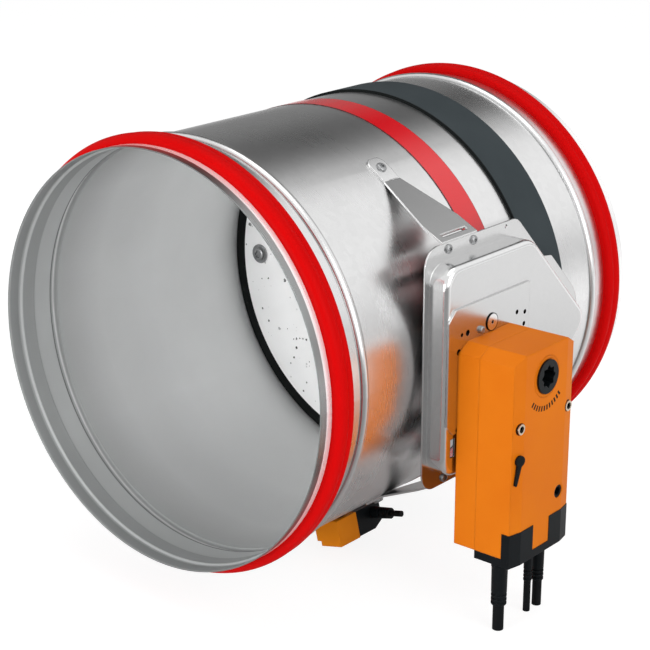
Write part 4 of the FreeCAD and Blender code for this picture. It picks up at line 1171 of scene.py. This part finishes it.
ring_shell, shell_tree, shell_place = copy_finish("orange_plastic", "front_shell_plastic")
onto_shell = across_x(shell_tree, shell_place.outputs["Object"])
eye_low, eye_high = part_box("housing_eyelets")
eye_z = middle_of("housing_eyelets").z
eye_r = eye_high.z - eye_z
lines = [
    disc_mask(shell_tree, onto_shell, eye_y, eye_z, eye_r + EYELET_GAP, MARK_SOFT)
    for eye_y in (eye_low.y + eye_r, eye_high.y - eye_r)
]
shade_colour(ring_shell, work_out(shell_tree, "MAXIMUM", *lines), EYELET_LINE)
nodes["front_housing"].data.materials[0] = ring_shell
# The release housing gets the lighter orange, which is painted light.
nodes["release_housing"].data.materials[0] = FINISHES["release_plastic_painted_light"]
print("eyelets at z", round(eye_z, 4))

# %% [markdown]
# ## Cable boots and leads
# A boot keeps a lead from kinking where it leaves the housing. It is a turned form: half of its section is
# drawn once as a chain of points and spun round the lead. Three soft rings near the end let it bend.

# %% Model the cable boots
BOOT_RINGS = 3
BOOT_TAPER = 0.92
COLLAR_SHARE = 0.14
COLLAR_WAIST = 0.95
COLLAR_STEP = 0.001
BORE_SHARE = 0.97
LAST_RING_RAISED = 0.2
RING_PITCH = 0.0040
RING_DEEP = 0.0013
RING_WIDE = 0.0021
MOUTH_ROUND = 0.0012


def boot_section(radius, length, lead_r):
    """Half of a boot's section as (radius, level), from its root round to its mouth."""
    mouth_r = radius * BOOT_TAPER
    collar = -length * COLLAR_SHARE
    section = [(lead_r, 0.0), (radius, 0.0), (radius, collar)]
    section.append((radius * COLLAR_WAIST, collar - COLLAR_STEP))
    first_ring = -length + (BOOT_RINGS + LAST_RING_RAISED) * RING_PITCH
    for k in range(BOOT_RINGS):
        level = first_ring - k * RING_PITCH
        section.append((mouth_r, level))
        section.append((mouth_r - RING_DEEP, level - RING_WIDE * 0.25))
        section.append((mouth_r - RING_DEEP, level - RING_WIDE * 0.75))
        section.append((mouth_r, level - RING_WIDE))
    section.append((mouth_r, -length + MOUTH_ROUND))
    section.append((mouth_r - MOUTH_ROUND * 0.4, -length + MOUTH_ROUND * 0.3))
    section.append((mouth_r - MOUTH_ROUND, -length))
    section.append((lead_r, -length))
    return section


def spin_section(section):
    """Spins a closed section of (radius, level) round Z."""
    form = bmesh.new()
    verts = [form.verts.new((r, 0, z)) for r, z in section]
    chain = [form.edges.new((a, b)) for a, b in zip(verts, verts[1:] + verts[:1])]
    bmesh.ops.spin(
        form,
        geom=verts + chain,
        cent=(0, 0, 0),
        axis=(0, 0, 1),
        dvec=(0, 0, 0),
        angle=math.tau,
        steps=RING_STEPS,
        use_merge=True,
        use_duplicate=False,
    )
    bmesh.ops.remove_doubles(form, verts=form.verts, dist=1e-6)
    bmesh.ops.recalc_face_normals(form, faces=form.faces)
    return form


LEADS = (("mains", 0.0053), ("sensor", 0.0034), ("switch", 0.0045))

for lead_name, lead_r in LEADS:
    low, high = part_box(lead_name + "_boot")
    boot_r = (high.x - low.x) / 2
    boot_form = spin_section(boot_section(boot_r, high.z - low.z, lead_r * BORE_SHARE))
    root = (*middle_of(lead_name + "_boot").xy, high.z)
    bmesh.ops.translate(boot_form, vec=root, verts=boot_form.verts)
    finish_piece(lead_name + "_cable_boot", boot_form, "black_plastic", "casing_body", lead_name + "_boot")

# %% [markdown]
# The leads leave the cap straight down and are cut a little way below their boots. Each is a curve with a
# round bevel, so that its line is its true length.

# %% Define a lead


def add_lead(name, node_name, start, end, lead_r):
    """A straight stub of cable from start to end."""
    curve = bpy.data.curves.new(name, "CURVE")
    curve.dimensions = "3D"
    curve.bevel_depth = lead_r
    curve.bevel_resolution = 8
    curve.use_fill_caps = True
    spline = curve.splines.new("NURBS")
    shares = (0.0, 0.35, 0.7, 1.0)
    spline.points.add(len(shares) - 1)
    for point, share in zip(spline.points, shares):
        point.co = (*start.lerp(end, share), 1.0)
    spline.order_u = 3
    spline.use_endpoint_u = True
    curve.materials.append(FINISHES["lead_jacket"])
    lead = bpy.data.objects.new(name, curve)
    scene_root.link(lead)
    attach(lead, "casing_body")
    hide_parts(node_name)


print("a lead is a curve with a round bevel")

# %% Hang the leads
for lead_name, lead_r in LEADS:
    low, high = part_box(lead_name + "_lead")
    line = middle_of(lead_name + "_lead").xy
    top = Vector((*line, high.z))
    cut = Vector((*line, low.z))
    add_lead(lead_name + "_flex", lead_name + "_lead", top, cut, lead_r)

# %% [markdown]
# The release's lead leaves its connector sideways. Its node is a slanted cylinder, so its two ends are found
# from the middle of its box, its direction and its length.

# %% Lay the release's lead
RELEASE_LEAN = math.radians(14.0)
RELEASE_LEAD_R = 0.0031
RELEASE_LEAD_LENGTH = 0.038

half_run = Vector((math.cos(RELEASE_LEAN), 0, math.sin(RELEASE_LEAN))) * RELEASE_LEAD_LENGTH / 2
middle = middle_of("release_lead")
add_lead("release_flex", "release_lead", middle - half_run, middle + half_run, RELEASE_LEAD_R)

# %% [markdown]
# ## Marks on the actuator
# A plain scale of tick marks under the output shows how far the blade has turned. The marks are printed,
# so they are bars a few hundredths of a millimetre thick, worked out by a loop over the angle.

# %% Print the tick marks
FRONT_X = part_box("front_housing")[1].x
TICK_INNER_R = 0.0275
TICK_LENGTH = 0.0050
TICK_WIDE = 0.0021
TICK_THICK = 0.00006
TICK_FROM = -134.0
TICK_STEP = 8.0
TICK_COUNT = 12
PRINT_INK = ("printed_ink", "0C0804", "120C06", "120C06", 0.5, 0.6, 0.1, 900.0, 0.00001, 0.0001)

FINISHES["printed_ink"] = make_moulded(*PRINT_INK)
tick_form = bmesh.new()
for k in range(TICK_COUNT):
    angle = math.radians(TICK_FROM + k * TICK_STEP)
    made = bmesh.ops.create_cube(tick_form, size=1.0)["verts"]
    bmesh.ops.scale(tick_form, vec=(TICK_THICK, TICK_LENGTH, TICK_WIDE), verts=made)
    spoke = Matrix.Translation((FRONT_X + TICK_THICK / 2, DRIVE_Y, 0)) @ Matrix.Rotation(angle, 4, "X")
    reach = Matrix.Translation((0, TICK_INNER_R + TICK_LENGTH / 2, 0))
    bmesh.ops.transform(tick_form, matrix=spoke @ reach, verts=made)
finish_piece("scale_ticks", tick_form, "black_plastic", "casing_body", look="printed_ink")

# %% [markdown]
# A fine moulded ring runs round the output. It is a very flat bead, spun from a small section.

# %% Raise the ring round the output
RING_R = 0.0195
RING_HALF = 0.00035
RING_RISE = 0.00025

ring_low, ring_high = RING_R - RING_HALF, RING_R + RING_HALF
ring_section = [(ring_low, 0.0), (RING_R, RING_RISE), (ring_high, 0.0), (RING_R, -RING_RISE)]
ring_form = spin_section(ring_section)
ring_place = Matrix.Translation((FRONT_X, DRIVE_Y, 0)) @ Matrix.Rotation(math.pi / 2, 4, "Y")
bmesh.ops.transform(ring_form, matrix=ring_place, verts=ring_form.verts)
finish_piece("output_ring", ring_form, "orange_plastic", "casing_body")
